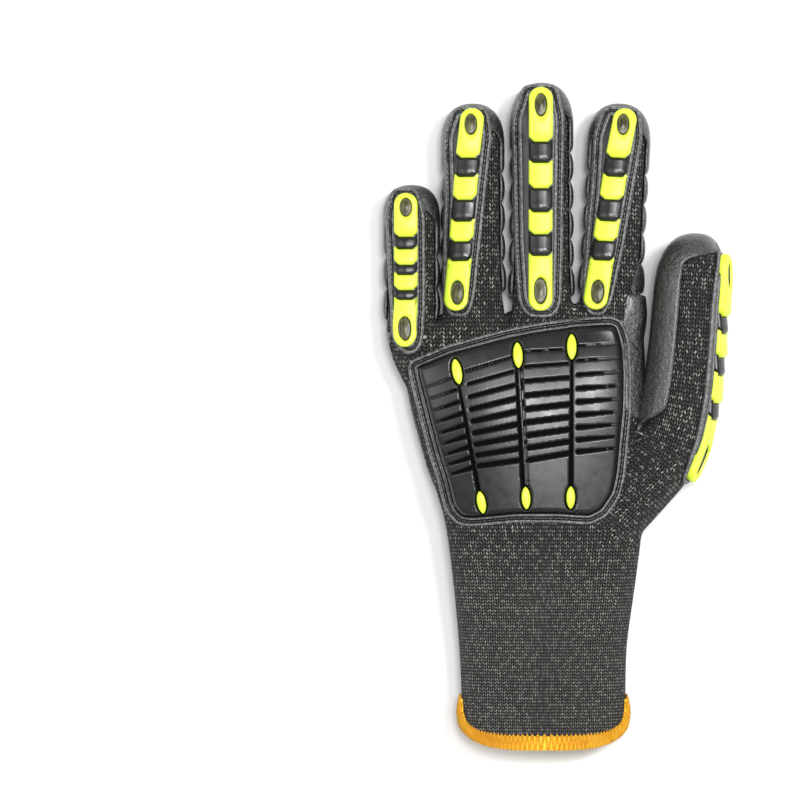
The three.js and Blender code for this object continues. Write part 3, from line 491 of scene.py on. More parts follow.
def fused(name, parts, voxel, rounds, material):
    """One closed body from overlapping closed ones, with softened joints."""
    obj = mesh_object(name, *joined(parts), material)
    remesh = obj.modifiers.new("fuse", "REMESH")
    remesh.mode = "VOXEL"
    remesh.voxel_size = voxel * MM
    return relaxed(obj, rounds)


def carried(obj):
    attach(obj, "root")


def tree_of(obj):
    depsgraph = bpy.context.evaluated_depsgraph_get()
    return BVHTree.FromObject(obj, depsgraph)


def pushed_out(obj, tree, clearance):
    """Moves the points that lie in or near another skin out to a clearance from it."""
    points = coordinates(obj)
    for k, p in enumerate(points):
        place, normal, _, _ = tree.find_nearest(Vector((p + SHIFT) * MM))
        place, normal = np.array(place) / MM - SHIFT, np.array(normal)
        if np.dot(p - place, normal) < clearance:
            points[k] = place + normal * clearance
    set_coordinates(obj, points)


# Materials. Scales of the noises are per metre.
class Shader:
    """A material with a principled shader, and short calls for its nodes."""

    def __init__(self, name, colour, roughness):
        self.material = bpy.data.materials.new(name)
        self.material.use_nodes = True
        self.tree = self.material.node_tree
        self.bsdf = self.tree.nodes["Principled BSDF"]
        self.bsdf.inputs["Base Color"].default_value = (*colour, 1)
        self.bsdf.inputs["Roughness"].default_value = roughness

    def node(self, kind, inputs=None, **settings):
        node = self.tree.nodes.new(kind)
        for key, value in settings.items():
            setattr(node, key, value)
        for key, value in (inputs or {}).items():
            self.feed(node.inputs[key], value)
        return node

    def feed(self, socket, value):
        if isinstance(value, bpy.types.NodeSocket):
            self.tree.links.new(value, socket)
        else:
            socket.default_value = value

    def math(self, operation, a, b=0.0):
        return self.node("ShaderNodeMath", {0: a, 1: b}, operation=operation).outputs[0]

    def plus(self, a, b):
        return self.math("ADD", a, b)

    def minus(self, a, b):
        return self.math("SUBTRACT", a, b)

    def times(self, a, b):
        return self.math("MULTIPLY", a, b)

    def noise(self, vector, scale, detail=3.0, roughness=0.55):
        inputs = {"Vector": vector, "Scale": scale, "Detail": detail, "Roughness": roughness}
        return self.node("ShaderNodeTexNoise", inputs).outputs["Fac"]

    def ramp(self, value, *stops):
        node = self.node("ShaderNodeValToRGB", {"Fac": value})
        elements = node.color_ramp.elements
        while len(elements) < len(stops):
            elements.new(0.5)
        for element, (place, colour) in zip(elements, stops):
            element.position = place
            element.color = (*colour, 1) if len(colour) == 3 else colour
        return node.outputs["Color"]

    def bump(self, height, distance, strength=1.0, normal=None):
        inputs = {"Height": height, "Distance": distance * MM, "Strength": strength}
        if normal:
            inputs["Normal"] = normal
        return self.node("ShaderNodeBump", inputs).outputs["Normal"]

    def place(self):
        return self.node("ShaderNodeTexCoord").outputs["Object"]

    def colour(self, value):
        self.feed(self.bsdf.inputs["Base Color"], value)

    def roughness(self, value):
        self.feed(self.bsdf.inputs["Roughness"], value)

    def normal(self, value):
        self.feed(self.bsdf.inputs["Normal"], value)

    def setting(self, name, value):
        self.bsdf.inputs[name].default_value = value


def grey(value):
    return (value, value, value)


# Rows of the plain, even knit of the cuff, and over how many rows it fades out.
CUFF_ROWS = 60
CUFF_FADE = 25


def knit_material():
    """Plain knit: columns of V stitches, worked out from the knit map, one unit to a stitch. Its colour
    follows the stitch's height: painted shade between the legs and painted light on the crowns, over
    flecks and fibre of the yarn's own.
    """
    s = Shader("knit", grey(0.05), 0.85)
    uv = s.node("ShaderNodeUVMap", uv_map="knit").outputs["UV"]
    wobble = s.noise(s.place(), 420.0, 2.0)
    split = s.node("ShaderNodeSeparateXYZ", {"Vector": uv}).outputs
    x = s.plus(split["X"], s.times(s.minus(wobble, 0.5), 0.5))
    half = s.math("ABSOLUTE", s.minus(s.math("FRACT", x), 0.5))
    m = s.times(half, 2.0)
    y = s.minus(split["Y"], s.times(m, 0.8))
    leg = s.math("SINE", s.times(s.math("FRACT", y), math.pi))
    across = s.math("SINE", s.times(m, math.pi))
    height = s.times(s.math("POWER", leg, 0.7), s.math("POWER", across, 0.6))
    cell = s.node("ShaderNodeCombineXYZ", {
        "X": s.math("FLOOR", s.times(x, 2.0)), "Y": s.math("FLOOR", y),
    }).outputs["Vector"]
    chance = s.node("ShaderNodeTexWhiteNoise", {"Vector": cell}).outputs["Value"]
    fibre = s.noise(s.place(), 2600.0, 3.0)
    cuff = s.node("ShaderNodeMapRange", {
        "Value": split["Y"], "From Min": CUFF_ROWS + CUFF_FADE, "From Max": CUFF_ROWS,
        "To Min": 0.0, "To Max": 1.0,
    }).outputs["Result"]
    even = s.plus(0.42, s.times(cuff, 0.24))
    flecks = s.times(s.math("POWER", chance, 2.5), s.minus(0.75, s.times(cuff, 0.3)))
    spread = s.plus(flecks, even)
    # The tone rises with the stitch's height: painted shade in the gaps and painted light on the crowns;
    # the flecks and fibre noise are the yarn's own tone.
    tone = s.times(s.times(s.math("POWER", height, 1.5), spread), s.plus(fibre, 0.5))
    s.colour(s.ramp(
        tone, (0.0, (0.003, 0.003, 0.003)), (0.3, (0.03, 0.029, 0.027)),
        (0.55, (0.1, 0.097, 0.09)), (1.0, (0.4, 0.39, 0.37)),
    ))
    fine = s.bump(fibre, 0.12, 0.6)
    s.normal(s.bump(height, 0.7, 1.0, fine))
    s.setting("Specular IOR Level", 0.3)
    return s.material


def foam_material():
    s = Shader("foam", grey(0.03), 0.4)
    place = s.place()
    pebbles = s.noise(place, 1300.0, 4.0, 0.65)
    patches = s.noise(place, 160.0, 3.0)
    # Lighter specks on the pebbles' tops are painted glints, put into the base colour; the patches are
    # random tone of the foam.
    painted_glints = s.times(s.math("POWER", pebbles, 4.0), 1.6)
    dark = s.times(painted_glints, patches)
    s.colour(s.ramp(dark, (0.0, grey(0.006)), (0.12, grey(0.02)), (0.4, grey(0.16))))
    blend = s.plus(s.times(pebbles, 0.6), s.times(patches, 0.4))
    s.roughness(s.ramp(blend, (0.3, grey(0.22)), (0.7, grey(0.42))))
    wrinkles = s.bump(s.noise(place, 520.0, 2.0), 0.9, 0.8, s.bump(patches, 0.8, 0.6))
    s.normal(s.bump(pebbles, 0.4, 1.0, wrinkles))
    s.setting("Specular IOR Level", 1.0)
    s.setting("Coat Weight", 0.35)
    s.setting("Coat Roughness", 0.22)
    return s.material


def rubber_material():
    s = Shader("guard_rubber", grey(0.009), 0.3)
    place = s.place()
    mottle = s.noise(place, 240.0, 3.0)
    grain = s.noise(place, 2400.0, 2.0)
    s.roughness(s.ramp(mottle, (0.3, grey(0.24)), (0.75, grey(0.36))))
    s.normal(s.bump(grain, 0.03, 0.4, s.bump(mottle, 0.15, 0.2)))
    return s.material


def slot_shade_material():
    """Dull floor of the slots: painted shade, a near-black finish with almost no gloss put where the slots
    lie in shade.
    """
    s = Shader("slot_floor_painted_shade", grey(0.003), 0.9)
    grain = s.noise(s.place(), 1800.0, 2.0)
    s.colour(s.ramp(grain, (0.35, grey(0.002)), (0.75, grey(0.006))))
    s.setting("Specular IOR Level", 0.08)
    return s.material


def ridge_highlight_material():
    """Satin rubber of the flanges' ridges. Its lighter grey, next to the near-black plate, is a painted
    highlight on the crests; its mottle is the rubber's own tone.
    """
    s = Shader("ridge", grey(0.06), 0.45)
    mottle = s.noise(s.place(), 900.0, 4.0, 0.7)
    s.colour(s.ramp(mottle, (0.35, grey(0.03)), (0.5, grey(0.1)), (0.66, grey(0.26))))
    s.roughness(s.ramp(mottle, (0.3, grey(0.35)), (0.75, grey(0.55))))
    s.normal(s.bump(mottle, 0.12, 0.5))
    return s.material


def green_material():
    s = Shader("signal_green", (0.72, 0.98, 0.07), 0.42)
    mottle = s.noise(s.place(), 300.0, 3.0)
    s.colour(s.ramp(mottle, (0.3, (0.68, 0.88, 0.045)), (0.7, (0.76, 0.95, 0.07))))
    s.normal(s.bump(mottle, 0.08, 0.3))
    s.setting("Subsurface Weight", 0.15)
    s.setting("Subsurface Radius", (0.001, 0.001, 0.0004))
    return s.material


def recess_material():
    s = Shader("recess", (0.06, 0.07, 0.015), 0.35)
    mapping = {"Vector": s.place(), "Scale": (1.0, 0.15, 1.0)}
    streaks = s.node("ShaderNodeMapping", mapping).outputs["Vector"]
    tone = s.noise(streaks, 1600.0, 3.0)
    s.colour(s.ramp(tone, (0.35, (0.008, 0.009, 0.003)), (0.7, (0.12, 0.115, 0.03))))
    s.normal(s.bump(tone, 0.1, 0.6))
    return s.material


def hem_material():
    s = Shader("hem", (0.95, 0.45, 0.02), 0.7)
    place = s.place()
    tone = s.noise(place, 120.0, 2.0)
    fibre = s.noise(place, 3000.0, 3.0)
    s.colour(s.ramp(
        s.plus(s.times(tone, 0.6), s.times(fibre, 0.4)),
        (0.3, (0.9, 0.42, 0.008)), (0.55, (1.0, 0.57, 0.015)), (0.8, (1.0, 0.7, 0.06)),
    ))
    knots = s.noise(place, 800.0, 1.0)
    s.normal(s.bump(fibre, 0.12, 0.8, s.bump(knots, 0.7, 0.9)))
    s.setting("Sheen Weight", 0.2)
    return s.material


def thread_material():
    s = Shader("thread", grey(0.05), 0.6)
    fibre = s.noise(s.place(), 3000.0, 2.0)
    s.colour(s.ramp(fibre, (0.35, grey(0.01)), (0.55, grey(0.05)), (0.75, grey(0.4))))
    s.normal(s.bump(fibre, 0.08, 0.6))
    return s.material


KNIT_FINISH = knit_material()
FOAM_FINISH = foam_material()
RUBBER_FINISH = rubber_material()
RIDGE_HIGHLIGHT_FINISH = ridge_highlight_material()
SLOT_SHADE_FINISH = slot_shade_material()
GREEN_FINISH = green_material()
RECESS_FINISH = recess_material()
HEM_FINISH = hem_material()
THREAD_FINISH = thread_material()


# Hem line in plan.
HEM_ROUND = 3.6
BAND_ROUND = 4.5
HEM_CENTRE = (HAND["left"][1] + HAND["right"][1]) / 2 * CUFF_WIDTH
HEM_HALF = CUFF_WIDTH / 2 + HEM_PROUD + HEM_EASE
BAND_SAG = HEM_SAG - HEM_DEPTH + 1.5
# How far the knit reaches down under the band.
HEM_TUCK = 0.8


def hem_line(x, half, low, sag, corner):
    share = np.clip(np.abs(x - HEM_CENTRE) / half, 0, 0.9999)
    return low + sag * (1 - arch(share, corner))


def hem_edge(x):
    return hem_line(x, HEM_HALF, 0.0, HEM_SAG, HEM_ROUND)


def hem_band(x):
    return hem_line(x, HEM_HALF - HEM_SIDE, HEM_DEPTH, BAND_SAG, BAND_ROUND)


# The knit liner.
def ring_angles(count):
    return 2 * math.pi * (np.arange(count) + 0.5) / count


def hand_rings(step, sides):
    y = np.arange(hand_y[0], HAND_END, step)
    return hand_point(ring_angles(sides)[None, :], y[:, None])


def digit_rings(digit, step, sides):
    s = digit.stations(step)
    angle = ring_angles(sides)[None, :]
    a, b = digit.half(s)
    u, v = section(a[:, None], b[:, None], angle)
    return digit.place(s[:, None] + 0 * angle, u, v)


def section_run(dx, dz, a, b, n):
    """Length round a section from the middle of the back to the angle of dx, dz. Signed as dx."""
    angle = np.arctan2(np.abs(dx) / a, dz / b)
    steps = np.linspace(0, 1, 25)[:, None] * angle[None, :]
    u = a * power(np.sin(steps), 2 / n)
    v = b * power(np.cos(steps), 2 / n)
    run = np.hypot(np.diff(u, axis=0), np.diff(v, axis=0)).sum(axis=0)
    return run * np.sign(dx)


def section_girth(a, b, n):
    return 2 * section_run(np.full_like(a, 1e-6), -b, a, b, n)


# Width of a stitch and height of a row on the hand. Both are smaller in the drawn-in cuff.
WALE = 2.2
COURSE = 1.65
CUFF_COURSE = 1.25
# Where the map of the thumb and of the fingers begins.
THUMB_MAP_START = -28.0
FINGER_MAP_START = 0.972 * PALM_LENGTH


def knit_rows(y):
    """Number of rows from the lowest row of the cuff to a place along the hand."""
    row = mix(CUFF_COURSE, COURSE, smooth(0.3, 0.6, hand_y / PALM_LENGTH))
    count = np.concatenate([[0], np.cumsum(STEP / row[1:])])
    return np.interp(y, hand_y, count) + np.maximum(y - hand_y[-1], 0) / COURSE


def digit_map(digit, points):
    """Place on a digit's knit of each point, the girth there, and which points lie on it."""
    s = np.arange(-FINGER_BEFORE * digit.length, digit.length + 1, 1.0)
    line, side, up = digit.frame(s)
    reach = np.full(len(points), np.inf)
    best = np.zeros(len(points), int)
    for k in range(len(s)):
        d = np.sum((points - line[k]) ** 2, axis=1)
        closer = d < reach
        reach[closer], best[closer] = d[closer], k
    offset = points - line[best]
    u, v = np.sum(offset * side[best], axis=1), np.sum(offset * up[best], axis=1)
    at = s[best] + np.sum(offset * np.cross(up[best], side[best]), axis=1)
    a, b = digit.half(np.minimum(at, digit.dome))
    across = section_run(u, v, a, b, ROUND)
    own = np.hypot(u / a, v / b) < 1.3
    if digit.name == "thumb":
        own &= at > THUMB_MAP_START
    else:
        own &= points[:, 1] > FINGER_MAP_START
        across = across + line[best][:, 0] - hand_at(PALM_LENGTH)[0]
    at = at + digit.frame(0.0)[0][1]
    return across, knit_rows(at), section_girth(a, b, ROUND), own


def hand_map(points):
    x, y, z = points.T
    cx, a, cz, b = hand_at(y)
    across = section_run(x - cx, z - cz, a, b, HAND_HIGH)
    across = across + np.sign(x - cx) * np.maximum(np.abs(x - cx) - a, 0)
    drawn_in = hand_at(0.9 * PALM_LENGTH)[1] / a
    return across * drawn_in, knit_rows(y), section_girth(a, b, HAND_HIGH) * drawn_in


def add_knit_map(obj):
    """Map of the stitches. Each face lies wholly on the map of the hand or of one digit."""
    points = coordinates(obj)
    maps = [hand_map(points)]
    owner = np.zeros(len(points), int)
    for k, digit in enumerate(DIGITS.values()):
        *place, own = digit_map(digit, points)
        maps.append(place)
        owner[own] = k + 1
    across, along, girth = (np.stack([m[k] for m in maps]) for k in range(3))
    mesh = obj.data
    corner = np.empty(len(mesh.loops), np.int32)
    mesh.loops.foreach_get("vertex_index", corner)
    starts = np.empty(len(mesh.polygons), np.int32)
    counts = np.empty(len(mesh.polygons), np.int32)
    mesh.polygons.foreach_get("loop_start", starts)
    mesh.polygons.foreach_get("loop_total", counts)
    face = np.repeat(np.arange(len(starts)), counts)
    which = owner[corner[starts]][face]
    u, v, girth = across[which, corner], along[which, corner], girth[which, corner]
    highest = np.maximum.reduceat(u, starts)[face]
    lowest = np.minimum.reduceat(u, starts)[face]
    torn = (highest - lowest) > girth * 0.4
    u = np.where(torn & (u < 0), u + np.round(girth / WALE) * WALE, u)
    layer = mesh.uv_layers.new(name="knit")
    values = np.stack([u / WALE, v], axis=1)
    layer.data.foreach_set("uv", values.astype(np.float32).ravel())


def liner():
    parts = [tube(hand_rings(1.6, 72))] + [tube(digit_rings(d, 1.5, 40)) for d in DIGITS.values()]
    skin = fused("knit_liner", parts, 1.3, 5, KNIT_FINISH)
    points = coordinates(skin)
    edge = hem_band(points[:, 0]) - HEM_TUCK
    bm = bmesh.new()
    bm.from_mesh(skin.data)
    bm.verts.ensure_lookup_table()
    out = [bm.verts[k] for k in np.nonzero(points[:, 1] < edge)[0]]
    bmesh.ops.delete(bm, geom=out, context="VERTS")
    for vert in bm.verts:
        if vert.is_boundary:
            x = vert.co.x / MM - SHIFT[0]
            vert.co.y = (float(hem_band(x)) - HEM_TUCK + SHIFT[1]) * MM
    bm.to_mesh(skin.data)
    bm.free()
    tree = tree_of(skin)
    wall = skin.modifiers.new("wall", "SOLIDIFY")
    wall.thickness = KNIT * MM
    wall.offset = -1
    applied(skin)
    add_knit_map(skin)
    return skin, tree


# Foam. Its grooves are thinner than its ribs. A wrap gives how far from the tip the foam starts to
# climb round a digit, and where it closes over the back.
RIB_ROUND = 2.1
GROOVE_SIDE = 0.1
GROOVE_UNDER = 1.4
WRAP_RUN = {"thumb": (11.0, 2.5)}
FINGER_WRAP = (14.0, 4.0)


def rib_wave(t):
    """Height of a rounded rib over its pitch, 0 in the groove and 1 on the crest."""
    return np.clip(1 - np.abs(2 * t - 1) ** RIB_ROUND, 0, 1) ** 0.5


def foam_swell(digit, s):
    """How full the foam is along a digit: 1 on the crest of a rib and on the cap."""
    start, end = digit.split, digit.length - digit.cap
    pitch = (end - start) / digit.ribs
    cap = np.clip((s - end) / 4.0, 0, 1)
    return np.where(s > end, np.sqrt(1 - (1 - cap) ** 2), rib_wave(((s - start) / pitch) % 1.0))


def foam_rings(digit, s, swell, tops, tip, sides=46):
    """Outer and inner arcs round the palm side of a digit, from one top edge to the other.

    tip runs from 0 to 1 through the dome that closes the end, tops are the levels of the two edges.
    """
    wide, tall = digit.half(np.minimum(s, digit.dome))
    closing = arch(tip, FOAM_ROUND)
    sweep = np.linspace(0, 1, sides)[None, :]
    fade = 1 - smooth(0.34, 0.6, sweep) if digit.name == "thumb" else 1.0
    side = mix(RIB_SIDE, mix(GROOVE_SIDE, RIB_SIDE + 0.2, swell)[:, None], fade)
    under = mix(RIB_HEIGHT, mix(GROOVE_UNDER, RIB_HEIGHT, swell)[:, None], fade)

    def arc(a, b, drop, where):
        levels = [np.clip((top[:, None] - drop) / np.maximum(b, 1e-6), -1, 1) for top in tops]
        first, last = [np.arcsin(power(level, ROUND / 2)) for level in levels]
        angle = first - np.linspace(0, 1, sides)[None, :] * (math.pi + first + last)
        u, v = section(a, b, angle)
        return digit.place(where[:, None] + 0 * u, u, drop + v)

    end = digit.length + TIP_EASE
    out_s = np.where(tip > 0, mix(digit.dome, end + FOAM_END, tip), s)
    in_s = np.where(tip > 0, mix(digit.dome, end + GAP, tip), s)
    closing, wide, tall = closing[:, None], wide[:, None] + GAP, tall[:, None] + GAP
    drop = -under / 2 * closing
    outer = arc((wide + side) * closing, (tall + under / 2) * closing, drop, out_s)
    inner = arc(wide * closing, tall * closing, 0.0 * drop, in_s)
    return outer, inner


def foam_cup(outer, inner, closed):
    """Closed body between two arcs, open along the top before the row where it closes."""
    rows, columns = outer.shape[:2]
    count = rows * columns
    points = np.vstack([outer.reshape(-1, 3), inner.reshape(-1, 3)])
    quads = grid_faces(rows, columns)
    faces = quads.tolist() + (quads[:, ::-1] + count).tolist()
    start = np.arange(columns)
    for k in start[:-1]:
        faces.append([k, k + count, k + 1 + count, k + 1])
    for r in range(min(closed, rows - 1)):
        for edge, turn in ((0, 1), (columns - 1, -1)):
            a, b = r * columns + edge, (r + 1) * columns + edge
            faces.append([a, b, b + count, a + count][::turn])
    if closed >= rows:
        last = (rows - 1) * columns
        for k in start[:-1]:
            faces.append([last + k, last + k + 1, last + k + 1 + count, last + k + count])
    return points, faces


# How far the foam on the outer side of the index finger runs up, and its first share of that.
INDEX_SIDE = 23.0
INDEX_SIDE_FROM = 0.28
# Level of the thumb's foam on its inner side, at the root and further up, in shares of half its depth.
THUMB_FOAM_LEVELS = (-0.95, -0.12)
# A level above any digit's back.
CLOSED = 99.0


def foam_edges(digit, s, usual):
    """Levels of the foam's right and left edge along a digit."""
    plain = np.full(len(s), usual)
    if digit.name == "index":
        reach = np.clip(mix(INDEX_SIDE_FROM, 1, s / INDEX_SIDE), INDEX_SIDE_FROM, 1)
        return np.maximum(arch(reach, ROUND) * digit.depth / 2, usual), plain
    if digit.name == "thumb":
        back = mix(*THUMB_FOAM_LEVELS, smooth(0.17, 0.3, s / digit.length)) * digit.depth / 2
        return plain, back
    return plain, plain


def digit_foam(digit):
    """Foam under a digit: its outer side swells into ribs and a cap that wraps the tip."""
    s = np.arange(digit.split, digit.dome, 0.5)
    tip = np.sin(np.linspace(0, math.pi / 2, 34))[1:]
    tips = np.concatenate([0 * s, tip])
    s = np.concatenate([s, mix(digit.dome, digit.length + TIP_EASE, tip)])
    lowest, highest = FOAM_TOP * digit.depth / 2, digit.depth * 0.55
    back, near = WRAP_RUN.get(digit.name, FINGER_WRAP)
    hood = smooth(digit.length - back, digit.length - near, s)
    tops = []
    for edge in foam_edges(digit, s, lowest):
        top = mix(edge, highest, hood)
        tops.append(np.where(s > digit.length - near, CLOSED, top))
    outer, inner = foam_rings(digit, s, foam_swell(digit, s), tops, tips)
    closed = int(np.argmax(s > digit.length - near))
    outer[..., 2] = np.maximum(outer[..., 2], FLOOR_CLEAR)
    obj = mesh_object(f"foam_{digit.name}", *foam_cup(outer, inner, closed), FOAM_FINISH)
    weld = obj.modifiers.new("weld", "WELD")
    weld.merge_threshold = 0.004 * MM
    relaxed(obj, 2)
    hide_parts(f"padding_{digit.name}")
    return obj


# Middle lines of the palm's ribs, in shares of the hand's span and the palm's length.
PALM_RIBS = [
    [(0.35, 0.975), (0.175, 0.975)], [(0.1, 0.97), (-0.1, 0.97)], [(-0.19, 0.968), (-0.38, 0.963)],
    [(-0.46, 0.945), (-0.555, 0.95)], [(0.345, 0.925), (0.135, 0.93)], [(0.345, 0.86), (0.202, 0.866)],
    [(0.06, 0.928), (-0.231, 0.9)], [(0.1, 0.862), (-0.15, 0.83)], [(-0.32, 0.915), (-0.505, 0.885)],
    [(-0.231, 0.842), (-0.48, 0.808)], [(0.35, 0.795), (-0.132, 0.757)], [(-0.235, 0.76), (-0.445, 0.728)],
    [(0.36, 0.722), (0.14, 0.7)], [(0.037, 0.692), (-0.252, 0.661)], [(-0.34, 0.668), (-0.39, 0.66)],
    [(0.29, 0.648), (-0.12, 0.602)], [(-0.225, 0.59), (-0.375, 0.574)], [(0.285, 0.572), (0.067, 0.54)],
    [(-0.041, 0.53), (-0.34, 0.498)], [(0.345, 0.508), (-0.074, 0.464)], [(-0.18, 0.447), (-0.3, 0.433)],
    [(0.3, 0.44), (0.1, 0.405), (-0.075, 0.402)],
]
SKIN_EDGE = np.array([
    (0.9, 0.56), (0.5, 0.46), (0.3, 0.402), (0.1, 0.372), (-0.1, 0.37), (-0.3, 0.39), (-0.7, 0.46),
])
SKIN_TOP = 0.42
THUMB_ROOT_RIBS = 3
SKIN_LEVEL = PALM_FLOOR + HAND_DEPTH * SKIN_TOP
# How far the skin's edge drops towards the cuff, and the share of the back's half width where it ends
# over the index knuckle.
SKIN_DROP = 11
KNUCKLE_REACH = 0.82


def in_hand(points):
    return np.asarray(points, float) * [HAND_SPAN, PALM_LENGTH]


def underside(x, y):
    """Level of the knit's palm side under the hand and the thumb's root."""
    level = hand_height(x, y, -1)
    digit = DIGITS["thumb"]
    s = np.linspace(-digit.before, digit.length * 0.3, 60)
    line = digit.frame(s)[0]
    a, b = digit.half(s)
    tall = np.hypot(a * math.sin(digit.roll), b * math.cos(digit.roll))
    wide = np.hypot(a * math.cos(digit.roll), b * math.sin(digit.roll))
    for k in range(len(s)):
        off = np.hypot(x - line[k, 0], y - line[k, 1]) / wide[k]
        under = line[k, 2] - tall[k] * np.sqrt(np.clip(1 - off ** 2, 0, 1))
        level = np.where(off < 1, np.minimum(level, under), level)
    return level


def sausage(path, half, deep):
    """Round-ended rib under the palm along a path in plan."""
    curve = path
    if len(path) > 2:
        curve = centripetal(np.column_stack([path, np.zeros(len(path))]))[:, :2]
    run = arc_lengths(curve)
    length = run[-1]
    ends = half * np.sin(np.linspace(0, math.pi / 2, 9))
    s = np.concatenate([-ends[::-1], np.arange(1.0, length, 1.0), length + ends])
    beyond = np.where(s < 0, -s, np.where(s > length, s - length, 0)) / half
    wide = arch(np.clip(beyond, 0, 1), FOAM_ROUND)
    inside = np.clip(s, 0, length)
    at = np.stack([np.interp(inside, run, curve[:, k]) for k in (0, 1)], axis=1)
    ahead = np.gradient(curve, run, axis=0)
    ahead = unit(np.stack([np.interp(inside, run, ahead[:, k]) for k in (0, 1)], axis=1))
    at = at + ahead * (s - inside)[:, None]
    normal = np.stack([-ahead[:, 1], ahead[:, 0]], axis=1)
    angle = ring_angles(20)[None, :]
    u, v = section(half * wide[:, None], deep, angle)
    v = v * np.sqrt(wide)[:, None]
    v = np.where(v > 0, v * 0.4, v)
    x = at[:, :1] + normal[:, :1] * u
    y = at[:, 1:] + normal[:, 1:] * u
    centre, wide, _, _ = hand_at(y)
    x = np.where(y < 0.7 * PALM_LENGTH, np.maximum(x, centre - wide + 0.5), x)
    crest = underside(at[:, 0], at[:, 1])
    z = crest[:, None] - GAP + v
    return tube(np.stack([x, y, np.maximum(z, FLOOR_CLEAR)], axis=-1))


def palm_skin():
    """Thick sheet of foam over the palm, up the flanks and up the outer side of the index knuckle."""
    columns, rows = 110, 90
    across = np.linspace(0, 1, columns)[:, None]
    up = np.linspace(0, 1, rows)[None, :]
    edge_x, edge_y = in_hand(SKIN_EDGE[::-1]).T

    def angles(y):
        _, _, z, b = hand_at(y)
        level = mix(SKIN_LEVEL - SKIN_DROP, SKIN_LEVEL, smooth(0.46, 0.66, y / PALM_LENGTH))
        rise = np.clip((level - z) / b, -1, 1)
        left = math.pi - np.arcsin(power(rise, HAND_LOW / 2))
        right = 2 * math.pi + np.arcsin(power(rise, HAND_LOW / 2))
        guard = math.acos(KNUCKLE_REACH ** (HAND_HIGH / 2))
        right = mix(right, 2 * math.pi + guard, smooth(0.71, 0.78, y / PALM_LENGTH))
        return mix(left, right, across)

    y = 0.45 * PALM_LENGTH + 0 * (across + up)
    for _ in range(4):
        x = hand_point(angles(y), y)[..., 0]
        y = mix(np.interp(x, edge_x, edge_y), HAND_END, up)
    theta = angles(y)
    outer = hand_point(theta, y, GAP + SKIN)
    inner = hand_point(theta, y, GAP - KNIT)
    ring = np.concatenate([outer, inner[::-1]], axis=0).transpose(1, 0, 2)
    return tube(ring)


def thumb_root_foam():
    """Ribs of the thumb that run on over the ball of the thumb."""
    digit = DIGITS["thumb"]
    pitch = (digit.length - digit.cap - digit.split) / digit.ribs
    s = np.arange(digit.split - THUMB_ROOT_RIBS * pitch, digit.split - GAP, 0.5)
    top = np.full(len(s), -FOAM_TOP * digit.depth / 2)
    swell = rib_wave(((s - digit.split) / pitch) % 1.0)
    outer, inner = foam_rings(digit, s, swell, (top, top), 0 * s)
    for ring in (outer, inner):
        ring[..., 2] = np.clip(ring[..., 2], FLOOR_CLEAR, SKIN_LEVEL)
    return foam_cup(outer, inner, len(s))


# Pad on the index finger's outer side: where it starts, the stretch over which it rises, how much
# thinner than the skin it starts, and how far down the side it turns, in radians.
PAD_START = -20.0
PAD_RISE = (-18.0, 2.0)
PAD_THINNER = 0.4
PAD_TURN = -0.7


def index_side_foam():
    """Foam on the outer side of the index finger's root, between the palm's skin and its own foam."""
    digit = DIGITS["index"]
    s = np.arange(PAD_START, digit.split - GAP, 0.8)
    a, b = digit.half(s)
    top, _ = foam_edges(digit, s, 0.0)
    high = np.arcsin((np.minimum(top / b, 1)) ** (ROUND / 2))
    share = np.linspace(0, 1, 26)[None, :]
    angle = mix(high[:, None], PAD_TURN, share)
    rise = mix(GAP + SKIN - PAD_THINNER, GAP + RIB_SIDE, smooth(*PAD_RISE, s))[:, None]
    rise = rise * smooth(-0.12, 0.4, share)

    def arc(grow):
        u, v = section(a[:, None] + grow, b[:, None] + grow, angle)
        return digit.place(s[:, None] + 0 * u, u, v)

    return tube(np.concatenate([arc(rise), arc(-1.0)[:, ::-1]], axis=1))


def palm_foam(tree):
    half = PALM_RIB_WIDTH / 2
    parts = [palm_skin()] + [sausage(in_hand(path), half, RIB_HEIGHT) for path in PALM_RIBS]
    parts += [thumb_root_foam(), index_side_foam()]
    obj = fused("foam_palm", parts, 0.75, 4, FOAM_FINISH)
    pushed_out(obj, tree, GAP)
    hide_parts("palm_padding")
    return obj


# Rubber strips: place along the digit, left and right edge in shares of its width.
STRIPS = {
    "little": [(-0.08, -0.22, 0.1), (0.03, -0.4, 0.3), (0.4, -0.5, 0.3), (0.85, -0.56, 0.29),
               (1.03, -0.42, 0.12)],
    "ring": [(-0.04, -0.46, -0.1), (0.05, -0.58, 0.02), (0.3, -0.58, 0.12), (0.6, -0.54, 0.24),
             (0.88, -0.56, 0.36), (1.02, -0.37, 0.27)],
    "middle": [(-0.04, -0.28, 0.22), (0.03, -0.46, 0.36), (0.3, -0.53, 0.39), (0.6, -0.55, 0.4),
               (0.87, -0.57, 0.42), (1.025, -0.36, 0.27)],
    "index": [(-0.04, -0.42, -0.12), (0.05, -0.56, 0.02), (0.3, -0.54, 0.17), (0.6, -0.5, 0.3),
              (0.88, -0.5, 0.42), (1.02, -0.33, 0.33)],
    "thumb": [(0.04, -0.14, 0.12), (0.12, -0.26, 0.24), (0.5, -0.29, 0.28), (0.85, -0.28, 0.28),
              (0.96, -0.16, 0.16)],
}
